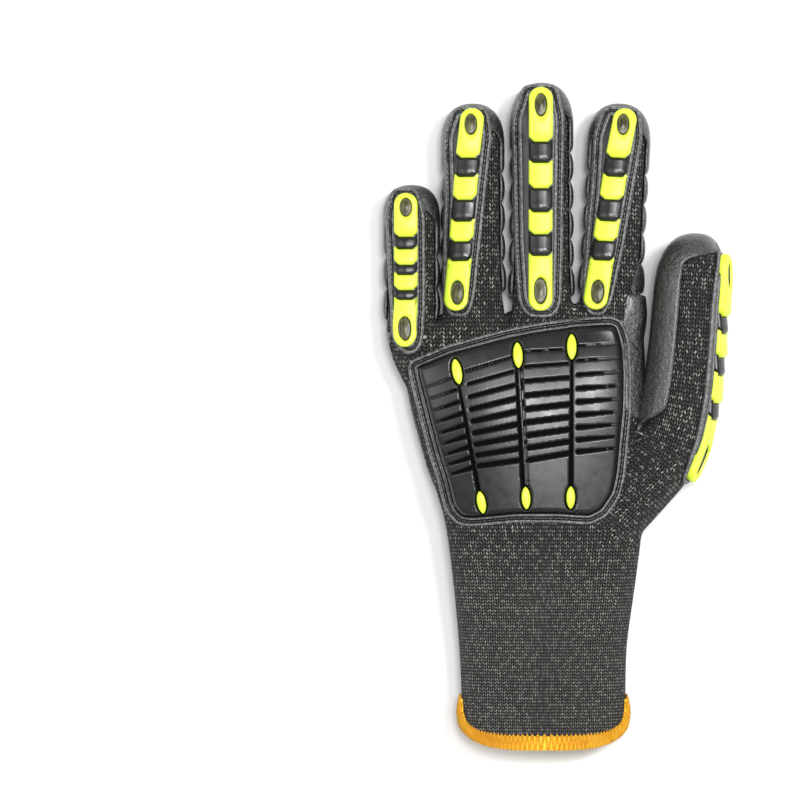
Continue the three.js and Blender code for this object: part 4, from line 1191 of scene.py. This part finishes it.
# name, green, from, to, round. The ends are shares of the digit's length.
LONG_BLOCKS = [
    ("tip", True, 0.757, 1.008, 1), ("upper_ridge", False, 0.663, 0.752, 0),
    ("upper", True, 0.547, 0.66, 0), ("middle_ridge", False, 0.44, 0.546, 0),
    ("lower", True, 0.338, 0.437, 0), ("lower_ridge", False, 0.24, 0.335, 0),
    ("root", True, -0.01, 0.237, -1),
]
SHORT_BLOCKS = [
    ("tip", True, 0.695, 0.99, 1), ("upper_ridge", False, 0.615, 0.69, 0),
    ("upper", True, 0.51, 0.61, 0), ("middle_ridge", False, 0.445, 0.51, 0),
    ("lower", True, 0.34, 0.44, 0), ("lower_ridge", False, 0.275, 0.335, 0),
    ("root", True, -0.025, 0.272, -1),
]
THUMB_BLOCKS = [
    ("tip", True, 0.69, 0.955, 1), ("upper_ridge", False, 0.621, 0.687, 0),
    ("upper", True, 0.525, 0.618, 0), ("middle_ridge", False, 0.454, 0.522, 0),
    ("lower", True, 0.345, 0.451, 0), ("lower_ridge", False, 0.281, 0.342, 0),
    ("root", True, 0.06, 0.278, -1),
]
# blocks, place of their centre line at tip and root, half width, how late the line bends
BLOCK_LINES = {
    "little": (SHORT_BLOCKS, -0.12, -0.12, 0.25, 1), "ring": (LONG_BLOCKS, -0.02, -0.33, 0.222, 1),
    "middle": (LONG_BLOCKS, -0.03, -0.04, 0.222, 1), "index": (LONG_BLOCKS, 0.06, -0.3, 0.222, 1),
    "thumb": (THUMB_BLOCKS, 0, -0.01, 0.165, 1),
}
# Cross section of a flange from its edge: distance inward, height.
FLANGE_PROFILE = [
    (0.0, 0.0), (0.0, 0.5), (0.1, 0.85), (0.3, 1.12), (0.7, 1.27), (1.15, 1.2), (1.35, 0.95), (1.45, 0.4),
    (2.4, 0.4), (2.5, 0.95), (2.72, 1.2), (3.2, 1.27), (3.65, 1.17), (3.95, 0.85), (4.05, 0.45),
]
FLANGE_IN, FLANGE_END = FLANGE_PROFILE[-1]
# Which faces across the profile of a flange are its ridges.
STRIP_RIDGES = (1, 2, 3, 4, 5, 9, 10, 11, 12)
GUARD_RIDGES = (2, 3, 4, 10)
# A stitch fills six of the eight parts of its pitch.
STITCH_PARTS = 8
STITCH_FROM_EDGE = 1.92
STITCH_LEVEL = 0.62


def on_digit(digit, places, height):
    """Places (across, along) on a digit's back at a height above the knit."""
    u, s = places[..., 0], places[..., 1]
    point = digit.on_back(s, u, GAP + height)
    if digit.name != "thumb":
        over = hand_height(point[..., 0], point[..., 1], 1, GAP + height)
        inside = point[..., 1] < HAND_END
        point[..., 2] = np.where(inside, np.maximum(point[..., 2], over), point[..., 2])
    return point


def ring_stack(rings):
    points = np.vstack(rings)
    faces = grid_faces(len(rings), len(rings[0]), close_columns=True).tolist()
    return points, faces


def plate_outline(digit):
    size = [digit.length, digit.width, digit.width]
    rows = np.array(STRIPS[digit.name]) * size
    middle = [(row[1] + row[2]) / 2 for row in rows]
    outline = [(middle[-1], rows[-1][0])]
    outline += [(row[2], row[0]) for row in rows[::-1]]
    outline += [(middle[0], rows[0][0])]
    outline += [(row[1], row[0]) for row in rows]
    return rounded(outline, 240, 2.2)


def stitches(path, place, pitch=2.1, radius=0.27):
    """Short capsules along a closed path of places."""
    total = arc_lengths(np.vstack([path, path[:1]]))[-1]
    count = int(total / pitch)
    dense = resample(path, count * STITCH_PARTS, closed=True)
    girth = radius * np.array([0.35, 0.9, 1, 1, 0.9, 0.35])[:, None]
    dip = -radius * np.array([1.1, 0.2, 0, 0, 0.2, 1.1])[:, None]
    angle = ring_angles(6)
    wide, tall = (girth * np.cos(angle))[..., None], (girth * np.sin(angle))[..., None]
    parts = []
    for k in range(count):
        line = place(dense[[(k * STITCH_PARTS + j) % len(dense) for j in range(len(girth))]])
        ahead = unit(np.gradient(line, axis=0))
        side = unit(np.cross(ahead, [0, 0, 1.0]))
        up = np.cross(side, ahead)[:, None]
        parts.append(tube(line[:, None] + up * dip[:, None] + side[:, None] * wide + up * tall))
    return joined(parts)


def filled(outline, step=1.2):
    """Places that fill an outline in plan, and triangles between them."""
    grid, _, _ = grid_places(outline.min(axis=0), outline.max(axis=0), step)
    grid = grid[outline_distance(grid, outline)[0] > 0.45 * step]
    places = [Vector(p) for p in np.vstack([outline, grid])]
    edges = [(k, (k + 1) % len(outline)) for k in range(len(outline))]
    found, _, faces, *_ = delaunay_2d_cdt(places, edges, [], 1, 1e-5)
    return np.array([tuple(p) for p in found]), [list(face) for face in faces]


def covered(outline, place, height_at):
    """Surface inside an outline of places, as points and faces."""
    places, faces = filled(outline)
    return place(places, height_at(places)), faces


# A tongue ends in a chamfer that lies over the next one. Shares of its half width.
CHAMFER_ACROSS = 0.42
CHAMFER_UP = 0.42
END_ROUND = 0.95
# Gap between tongues, how far a tongue's ears stand back, and the room in its notch.
TONGUE_GAP = 0.1
EAR_BACK = 0.5
NOTCH_ROOM = 0.3
TIP_OVAL = {"across": 0.29, "along": 0.24, "from_end": 0.33}
ROOT_OVAL = {"across": 0.31, "along": 0.275, "from_end": 0.36}
# Length and drop of the facet at a tongue's foot, and how far it falls to its upper end and its sides.
FACET = 1.7
FACET_DROP = 1.0
FOOT_RISE = 0.2
TIP_FALL = 0.2
TONGUE_FALL = 1.15
CROWN = {True: 0.35, False: 0.95}
BEVEL = [(0.0, None), (0.0, 0.8), (0.1, 0.45), (0.3, 0.18), (0.6, 0.05), (0.9, 0.0)]
# Rings of an oval recess: share of the oval, drop. The first ones are its green rim.
RECESS_PROFILE = [
    (0.96, 0.25), (0.9, 0.9), (0.84, 1.35), (0.7, 1.45), (0.45, 1.2), (0.2, 1.05), (0.02, 1.0),
]
RECESS_RIM = 2


def block_outline(digit, blocks, k, line):
    """Outline of a tongue, notched at its upper end round the foot of the one above."""
    _, _, start, end, turn = blocks[k]
    _, tip, root, half, late = line
    half *= digit.width
    foot, rise = half * (1 - CHAMFER_ACROSS), half * CHAMFER_UP
    if k:
        end = blocks[k - 1][2] - TONGUE_GAP / digit.length
    low = mix(root, tip, max(start, 0) ** late) * digit.width
    high = mix(root, tip, end ** late) * digit.width
    start, end = start * digit.length, end * digit.length
    arc = np.linspace(0, math.pi, 13)
    if turn < 0:
        lower = [(low - half * math.cos(t), start + half * END_ROUND * (1 - math.sin(t))) for t in arc]
    else:
        heel = start + rise
        lower = [(low - half, heel), (low - foot, start), (low + foot, start), (low + half, heel)]
    if turn > 0:
        upper = [(high + half * math.cos(t), end - half * END_ROUND * (1 - math.sin(t))) for t in arc]
    else:
        ear, notch = end + rise - EAR_BACK, foot + NOTCH_ROOM
        upper = [(high + half, ear), (high + notch, end), (high - notch, end), (high - half, ear)]
    return lower + upper


def block_mesh(digit, blocks, k, line):
    """Tongue with bevelled edges, higher at its foot, with an oval recess in the two end ones.

    Gives points and faces, and the first point of the recess, or none.
    """
    _, green, start, end, turn = blocks[k]
    outline = rounded(block_outline(digit, blocks, k, line), 96, 0.3)
    normal = inward(outline)
    start, end = start * digit.length, end * digit.length

    def height(places, drop=0.0):
        """Level of the tongue: it falls towards its upper end, over its crown and at its foot's facet."""
        t = np.clip((places[..., 1] - start) / (end - start), 0, 1)
        facet = np.clip(1 - (places[..., 1] - start) / FACET, 0, 1) * (turn >= 0)
        axis = mix(line[2], line[1], np.clip(places[..., 1] / digit.length, 0, 1) ** line[4]) * digit.width
        crown = CROWN[green] * ((places[..., 0] - axis) / (line[3] * digit.width)) ** 2
        fall = TIP_FALL if turn > 0 else TONGUE_FALL
        return BLOCK + FOOT_RISE - fall * t ** 0.8 - FACET_DROP * facet - crown - drop

    rings = []
    for distance, drop in BEVEL:
        places = outline + normal * distance
        rise = BASE / 2 if drop is None else height(places, drop)
        rings.append(on_digit(digit, places, rise))
    inner = outline + normal * BEVEL[-1][0]
    if turn == 0:
        return joined([ring_stack(rings), covered(inner, partial(on_digit, digit), height)]), None
    oval = TIP_OVAL if turn > 0 else ROOT_OVAL
    size = end - start
    mid = end - size * oval["from_end"] if turn > 0 else start + size * oval["from_end"]
    x = mix(line[2], line[1], (mid / digit.length) ** line[4]) * digit.width
    half = line[3] * digit.width
    towards = inner - [x, mid]
    angle = np.arctan2(towards[:, 1] * half / size, towards[:, 0])
    reach = np.array([np.cos(angle) * 2 * half * oval["across"], np.sin(angle) * size * oval["along"]]).T
    centre = np.array([x, mid])
    for t in (0.35, 0.7, 1.0):
        places = mix(inner, centre + reach, t)
        rings.append(on_digit(digit, places, height(places, 0.06 * t)))
    edge = (len(rings) + RECESS_RIM) * len(outline)
    for scale, drop in RECESS_PROFILE:
        places = centre + reach * scale
        rings.append(on_digit(digit, places, height(places, drop)))
    return ring_stack(rings), edge


def finish_ridges(obj, around, ridges):
    """Gives the ridges of a flange, which comes first in the mesh, their satin finish, whose lighter grey
    is a painted highlight.
    """
    obj.data.materials.append(RIDGE_HIGHLIGHT_FINISH)
    # Ridge faces take the lighter grey that stands for a painted highlight.
    for face in obj.data.polygons[:(len(FLANGE_PROFILE) - 1) * around]:
        face.material_index = int(face.index // around in ridges)


def rubber_strip(digit):
    outline = plate_outline(digit)
    normal = inward(outline)
    line = BLOCK_LINES[digit.name]
    place = partial(on_digit, digit)
    parts = [
        ring_stack([place(outline + normal * inset, height) for inset, height in FLANGE_PROFILE]),
        covered(outline + normal * FLANGE_IN, place, lambda p: FLANGE_END),
        covered(outline, place, lambda p: 0.0),
    ]
    for k, block in enumerate(line[0]):
        mesh, recess = block_mesh(digit, line[0], k, line)
        if not block[1]:
            parts.append(mesh)
            continue
        green = mesh_object(f"block_{digit.name}_{block[0]}", *mesh, GREEN_FINISH)
        if recess:
            green.data.materials.append(RECESS_FINISH)
            for face in green.data.polygons:
                face.material_index = int(max(face.vertices) >= recess)
        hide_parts(f"insert_{digit.name}_{block[0]}")
        carried(green)
    strip = mesh_object(f"strip_{digit.name}", *joined(parts), RUBBER_FINISH)
    finish_ridges(strip, len(outline), STRIP_RIDGES)
    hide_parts(f"guard_{digit.name}")
    carried(strip)
    seam = stitches(outline + normal * STITCH_FROM_EDGE, lambda p: place(p, STITCH_LEVEL))
    carried(mesh_object(f"stitching_{digit.name}", *seam, THREAD_FINISH))


# Knuckle guard.
GUARD_OUTLINE = [
    (-0.545, 0.884), (-0.388, 0.92), (-0.243, 0.942), (-0.148, 0.956), (-0.045, 0.967), (0.144, 0.982),
    (0.289, 0.985), (0.33, 0.973), (0.359, 0.928), (0.368, 0.853), (0.365, 0.778), (0.351, 0.703),
    (0.338, 0.628), (0.318, 0.579), (0.262, 0.534), (0.194, 0.515), (0.058, 0.52), (-0.115, 0.52),
    (-0.299, 0.51), (-0.355, 0.516), (-0.401, 0.546), (-0.429, 0.61), (-0.462, 0.666), (-0.497, 0.74),
    (-0.532, 0.816), (-0.553, 0.866),
]
SLOT_COLUMNS = [
    (((-0.48, 0.823), (-0.382, 0.843)), ((-0.391, 0.626), (-0.306, 0.641))),
    (((-0.31, 0.861), (-0.136, 0.89)), ((-0.26, 0.648), (-0.108, 0.66))),
    (((-0.07, 0.904), (0.088, 0.909)), ((-0.05, 0.662), (0.088, 0.675))),
    (((0.145, 0.917), (0.3, 0.922)), ((0.145, 0.68), (0.3, 0.688))),
]
# How far the slots of a column run on at the left and right, and how thin they end there.
SLOT_ENDS = [(1.0, 1.9, 0.25, 1), (0.4, 1.2, 1, 1), (0.9, 1.5, 1, 1), (0.5, 0.8, 1, 0.3)]
THIN_SLOT = 0.75
SLOT = 1.7
GUARD_NARROWING = 0.98
SLOT_CROWDING = 0.12
# Upper and lower end of the channels, with a lens at each.
CHANNELS = [
    ((-0.351, 0.859), (-0.252, 0.566)), ((-0.103, 0.896), (-0.071, 0.576)),
    ((0.117, 0.915), (0.111, 0.577)),
]
UPPER_LENS = (3.8, 10.2)
LOWER_LENS = (3.5, 8.9)
SEAT_ROOM = (1.3, 1.6)
# Rings of a lens: share of its outline, height.
LENS_PROFILE = [
    (1.0, 0.9), (1.0, PLATE - 0.7), (0.93, PLATE - 0.35), (0.75, PLATE), (0.45, PLATE + 0.2),
    (0.02, PLATE + 0.25),
]
# Heights of the plate's rolled edge and of its floor, and how deep its slots and channels are.
PLATE_ROLL = 1.4
PLATE_FLOOR = 0.75
SLOT_DEPTH = 2.3
CHANNEL_DEPTH = 2.1
# The middle channel is a pair of grooves, this far to either side.
CHANNEL_SPREAD = 0.95
GUARD_POINTS = 420


class BackSurface:
    """Smooth surface over the back of the hand and the roots of the fingers, as a height field."""

    def __init__(self):
        self.x = np.arange(-70, 60, 1.0)
        self.y = np.arange(70, 190, 1.0)
        x, y = np.meshgrid(self.x, self.y, indexing="ij")
        level = np.where(y > HAND_END, 0, hand_height(x, y))
        for name in FINGERS:
            digit = DIGITS[name]
            s = np.arange(-digit.before, digit.length * 0.4, 1.0)
            line = digit.frame(s)[0]
            a, b = digit.half(s)
            cx = np.interp(y, line[:, 1], line[:, 0])
            cz = np.interp(y, line[:, 1], line[:, 2])
            a, b = np.interp(y, line[:, 1], a), np.interp(y, line[:, 1], b)
            share = np.clip(np.abs(x - cx) / a, 0, 1)
            top = cz + b * arch(share, ROUND)
            top = np.where((share < 1) & (y > line[0, 1]), top, 0)
            level = np.maximum(level, top)
        self.level = self.blurred(np.maximum(self.blurred(level, 3.0), level - 0.4), 1.2)

    @staticmethod
    def blurred(level, width):
        for axis in (0, 1):
            level = np.apply_along_axis(lambda row: blur(row, 1.0, width), axis, level)
        return level

    def height(self, x, y):
        i = np.clip((x - self.x[0]), 0, len(self.x) - 1.001)
        j = np.clip((y - self.y[0]), 0, len(self.y) - 1.001)
        i0, j0 = i.astype(int), j.astype(int)
        fi, fj = i - i0, j - j0
        z = self.level
        return (
            z[i0, j0] * (1 - fi) * (1 - fj) + z[i0 + 1, j0] * fi * (1 - fj)
            + z[i0, j0 + 1] * (1 - fi) * fj + z[i0 + 1, j0 + 1] * fi * fj
        )

    def place(self, places, height):
        x, y = places[..., 0], places[..., 1]
        z = self.height(x, y)
        dx = (self.height(x + 1.5, y) - self.height(x - 1.5, y)) / 3
        dy = (self.height(x, y + 1.5) - self.height(x, y - 1.5)) / 3
        slope = np.sqrt(1 + np.minimum(dx * dx + dy * dy, 1.5))
        return np.stack([x, y, z + (GAP + np.asarray(height)) * slope], axis=-1)


def capsule_distance(places, a, b, start, end):
    """Distance outside a round-ended bar that tapers from one radius to another."""
    a, b = np.asarray(a), np.asarray(b)
    d = b - a
    t = np.clip(((places - a) @ d) / (d @ d), 0, 1)
    return np.linalg.norm(places - a - t[:, None] * d, axis=1) - mix(start, end, t)


def lens_distance(places, centre, tilt, width, length):
    """Rough distance outside a pointed oval."""
    rel = places - np.asarray(centre)
    u = rel[:, 0] * math.cos(tilt) + rel[:, 1] * math.sin(tilt)
    v = -rel[:, 0] * math.sin(tilt) + rel[:, 1] * math.cos(tilt)
    k = np.sqrt((u / (width / 2)) ** 2 + (v / (length / 2)) ** 2)
    return (k - 1) * width / 2 * 1.15


def slot_share(k):
    even = k / (SLOTS - 1)
    return even * (1 + SLOT_CROWDING * (1 - even))


def in_guard(points):
    return in_hand(points) * [GUARD_NARROWING, 1]


def guard_cuts():
    """Slots as bars with a radius at each end, channels and lens places."""
    bars = []
    for column, (left_reach, right_reach, left_thin, right_thin) in zip(SLOT_COLUMNS, SLOT_ENDS):
        top, low = [in_guard(slot) for slot in column]
        for k in range(SLOTS):
            left, right = mix(top, low, slot_share(k))
            ahead = (right - left) / np.linalg.norm(right - left)
            radius = mix(THIN_SLOT, SLOT, smooth(0.0, 0.5, k / (SLOTS - 1))) / 2
            ends = left - ahead * left_reach, right + ahead * right_reach
            bars.append((*ends, radius * left_thin, radius * right_thin))
    channels, lenses = [], []
    for channel in CHANNELS:
        upper, lower = in_guard(channel)
        tilt = math.atan2(upper[1] - lower[1], upper[0] - lower[0]) - math.pi / 2
        channels.append(np.array([upper, lower]))
        lenses += [(upper, tilt, *UPPER_LENS), (lower, tilt, *LOWER_LENS)]
    return bars, channels, lenses


def snapped_sheet(outline, step, distances):
    """Fine grid of places inside an outline, its points drawn onto the nearby edges."""
    low, high = outline.min(axis=0) - step, outline.max(axis=0) + step
    places, rows, columns = grid_places(low, high, step)
    faces = grid_faces(rows, columns)
    for distance in distances:
        d = distance(places)
        e = 0.05
        gradient = np.stack([
            (distance(places + [e, 0]) - distance(places - [e, 0])) / (2 * e),
            (distance(places + [0, e]) - distance(places - [0, e])) / (2 * e),
        ], axis=1)
        size = np.maximum(np.linalg.norm(gradient, axis=1, keepdims=True), 0.3)
        near = np.abs(d) < 0.5 * step
        places = np.where(near[:, None], places - gradient / size * d[:, None], places)
    d, near = outline_distance(places, outline)
    places = np.where((np.abs(d) < 0.55 * step)[:, None], near, places)
    d = np.where(np.abs(d) < 0.55 * step, 0, d)
    keep = np.all(d[faces] >= -1e-6, axis=1)
    faces = faces[keep]
    used = np.unique(faces)
    index = np.full(len(places), -1)
    index[used] = np.arange(len(used))
    return places[used], index[faces], d[used]


def knuckle_guard():
    back = BackSurface()
    outline = rounded(in_guard(GUARD_OUTLINE), GUARD_POINTS, 1.6)
    normal = inward(outline)
    profile = FLANGE_PROFILE + [(5.0, 0.8)]
    flange = ring_stack([back.place(outline + normal * inset, height) for inset, height in profile])
    bars, channels, lenses = guard_cuts()

    def slots(p):
        return np.min([capsule_distance(p, *bar) for bar in bars], axis=0)

    def grooves(p):
        aside = np.array([CHANNEL_SPREAD, 0])
        first, second, third = channels
        return np.min([
            capsule_distance(p, *(first - 0.3 * aside), 0.35, 0.85),
            capsule_distance(p, *(second - aside), 0.3, 0.85),
            capsule_distance(p, *(second + aside), 0.35, 0.2),
            capsule_distance(p, *third, 0.3, 0.85),
        ], axis=0)

    def seats(p):
        room = [(c, t, w + SEAT_ROOM[0], l + SEAT_ROOM[1]) for c, t, w, l in lenses]
        return np.min([lens_distance(p, *seat) for seat in room], axis=0)

    plate = rounded(outline + normal * (FLANGE_IN + 0.2), GUARD_POINTS, 1.2)
    places, faces, edge = snapped_sheet(plate, 0.42, [slots, grooves, seats])
    cut = np.minimum(slots(places), seats(places))
    height = PLATE - SLOT_DEPTH * (1 - smooth(-0.42, 0.12, cut))
    ditch = grooves(places)
    height = np.minimum(height, PLATE - CHANNEL_DEPTH * (1 - smooth(-0.3, 0.12, ditch)))
    round_edge = 1 - np.clip(edge / 1.8, 0, 1)
    height -= PLATE_ROLL * (1 - np.sqrt(np.clip(1 - round_edge ** 2, 0, 1)))
    height = np.maximum(height, PLATE_FLOOR)
    top = back.place(places, height)
    skirt = ring_stack([back.place(plate, level) for level in (PLATE - PLATE_ROLL, 0.7)])
    under = covered(outline, back.place, lambda p: 0.0)
    parts = [flange, (top, faces.tolist()), skirt, under]
    guard = mesh_object("guard_moulding", *joined(parts), RUBBER_FINISH)
    finish_ridges(guard, len(outline), GUARD_RIDGES)
    guard.data.materials.append(SLOT_SHADE_FINISH)
    start = len(flange[1])
    # Faces deep in the slots, grooves and lens seats get the near-black slot finish as painted shade.
    deep = (height[faces].mean(axis=1) < PLATE - 1.0) & (edge[faces].min(axis=1) > 1.5)
    for face, dark in zip(guard.data.polygons[start:start + len(faces)], deep):
        face.material_index = 2 if dark else 0
    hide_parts("knuckle_guard")
    carried(guard)
    seam = stitches(outline + normal * STITCH_FROM_EDGE, lambda p: back.place(p, STITCH_LEVEL))
    carried(mesh_object("stitching_guard", *seam, THREAD_FINISH))
    for k, lens in enumerate(lenses):
        lens_insert(back, k + 1, *lens)


def lens_insert(back, number, centre, tilt, width, length):
    """Pointed oval insert of the plate, with a low dome."""
    angle = ring_angles(40)
    pinch = 1 - 0.25 * np.abs(np.sin(angle)) ** 4
    rings = []
    for scale, height in LENS_PROFILE:
        u = np.cos(angle) * width / 2 * scale * pinch
        v = np.sin(angle) * length / 2 * scale
        places = np.stack([
            centre[0] + u * math.cos(tilt) - v * math.sin(tilt),
            centre[1] + u * math.sin(tilt) + v * math.cos(tilt),
        ], axis=1)
        rings.append(back.place(places, height))
    lens = mesh_object(f"green_lens_{number}", *tube(rings), GREEN_FINISH)
    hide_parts(f"lens_{number}")
    carried(lens)


# Hem. Its band swells at the folds on either side. The section gives shares up the band and heights.
HEM_SIDE_SWELL = 1.5
HEM_SECTION = [
    (1.0, 0.05), (0.8, 0.3), (0.4, 0.4), (0.12, 0.25), (0.0, -0.3), (0.0, -1.4), (0.12, -1.9), (0.5, -2.0),
    (1.0, -1.8),
]
HEM_LOOPS = 118
HEM_THREAD = 0.4


def hem_swell(angle, share):
    up = np.sin(math.pi * np.clip(0.15 + 0.7 * share, 0, 1))
    return HEM_SIDE_SWELL * np.abs(np.cos(angle)) ** 6 * up


def hem():
    """Thick overlocked edge: a rolled band round the mouth of the cuff under two crossing zigzags."""
    count = 240
    theta = ring_angles(count)
    y = np.full(count, 8.0)
    x = hand_point(theta, y)[:, 0]
    low, top = hem_edge(x) + 1.2, hem_band(x) + 0.3
    low = np.minimum(low, top - 2.2)

    def closed(rings):
        faces = grid_faces(*rings.shape[:2], close_rows=True, close_columns=True)
        return rings.reshape(-1, 3), faces.tolist()

    rings = [
        hand_point(theta, mix(low, top, share), grow + hem_swell(theta, share))
        for share, grow in HEM_SECTION
    ]
    parts = [closed(np.array(rings).transpose(1, 0, 2))]
    per = 14
    turn = ring_angles(7)[None, :, None]
    stops = (np.arange(count + 1) + 0.5) / count
    for offset in (0.0, 0.5):
        t = np.arange(HEM_LOOPS * per) / per + offset
        share = mix(0.02, 1.12, (1 - np.cos(2 * math.pi * t)) / 2)
        where = (t / HEM_LOOPS) % 1.0
        angle = where * 2 * math.pi
        lows, tops = [np.interp(where, stops, np.append(edge, edge[0])) for edge in (low, top)]
        along = mix(lows, tops, share)
        line = hand_point(angle, along, 0.3 + hem_swell(angle, share))
        ahead = unit(np.roll(line, -1, axis=0) - np.roll(line, 1, axis=0))
        out = unit(hand_point(angle, along, 2.0) - line)
        side = np.cross(ahead, out)
        ring = line[:, None] + HEM_THREAD * (side[:, None] * np.cos(turn) + out[:, None] * np.sin(turn))
        ring[..., 2] = np.maximum(ring[..., 2], FLOOR_CLEAR)
        parts.append(closed(ring))
    obj = mesh_object("overlock_hem", *joined(parts), HEM_FINISH)
    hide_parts("cuff_hem")
    carried(obj)


# Stage.
def stage():
    floor = Shader("floor", grey(0.92), 0.9)
    mesh = bpy.data.meshes.new("floor")
    size = 2.5
    corners = [(-size, -size, 0), (size, -size, 0), (size, size, 0), (-size, size, 0)]
    mesh.from_pydata(corners, [], [(0, 1, 2, 3)])
    mesh.materials.append(floor.material)
    plane = bpy.data.objects.new("floor", mesh)
    plane.location.z = -0.0002
    bpy.context.scene.collection.objects.link(plane)
    world = bpy.data.worlds.new("studio")
    world.use_nodes = True
    sky = world.node_tree.nodes["Background"].inputs
    sky["Color"].default_value = (1, 1, 1, 1)
    sky["Strength"].default_value = 0.46
    bpy.context.scene.world = world

    def lamp(name, place, size, watts, aim=(0, 0, 0.02)):
        data = bpy.data.lights.new(name, "AREA")
        data.shape = "RECTANGLE"
        data.size, data.size_y = size
        data.energy = watts
        obj = bpy.data.objects.new(name, data)
        obj.location = place
        obj.rotation_euler = (Vector(aim) - Vector(place)).to_track_quat("-Z", "Y").to_euler()
        bpy.context.scene.collection.objects.link(obj)

    lamp("key", (0.06, 0.22, 1.75), (0.4, 0.3), 15)
    lamp("side", (-0.95, 0.2, 1.0), (0.5, 0.9), 4)
    lamp("fill", (0.9, -0.4, 1.1), (0.8, 0.8), 3)
    lamp("gloss", (0.5, 0.34, 1.4), (0.2, 0.3), 10)


# Where the middle of the picture looks, and how high the camera hangs over the floor, in metres.
VIEW_CENTRE = (-56.8, 140.8, 0.0)
CAMERA_HEIGHT = 1.618


def camera():
    data = bpy.data.cameras.new("camera")
    data.lens = 180
    data.sensor_width = 36
    obj = bpy.data.objects.new("camera", data)
    centre = (np.array(VIEW_CENTRE) + SHIFT) * MM
    obj.location = (*centre[:2], CAMERA_HEIGHT)
    obj.rotation_euler = (0, 0, 0)
    bpy.context.scene.collection.objects.link(obj)
    bpy.context.scene.camera = obj
    bpy.context.scene.view_settings.view_transform = "Standard"


camera()
stage()
knit, knit_tree = liner()
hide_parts("knit_body", *[f"knit_{name}" for name in DIGITS])
carried(knit)
for digit in DIGITS.values():
    foam = digit_foam(digit)
    carried(foam)
    rubber_strip(digit)
palm = palm_foam(knit_tree)
carried(palm)
knuckle_guard()
hem()
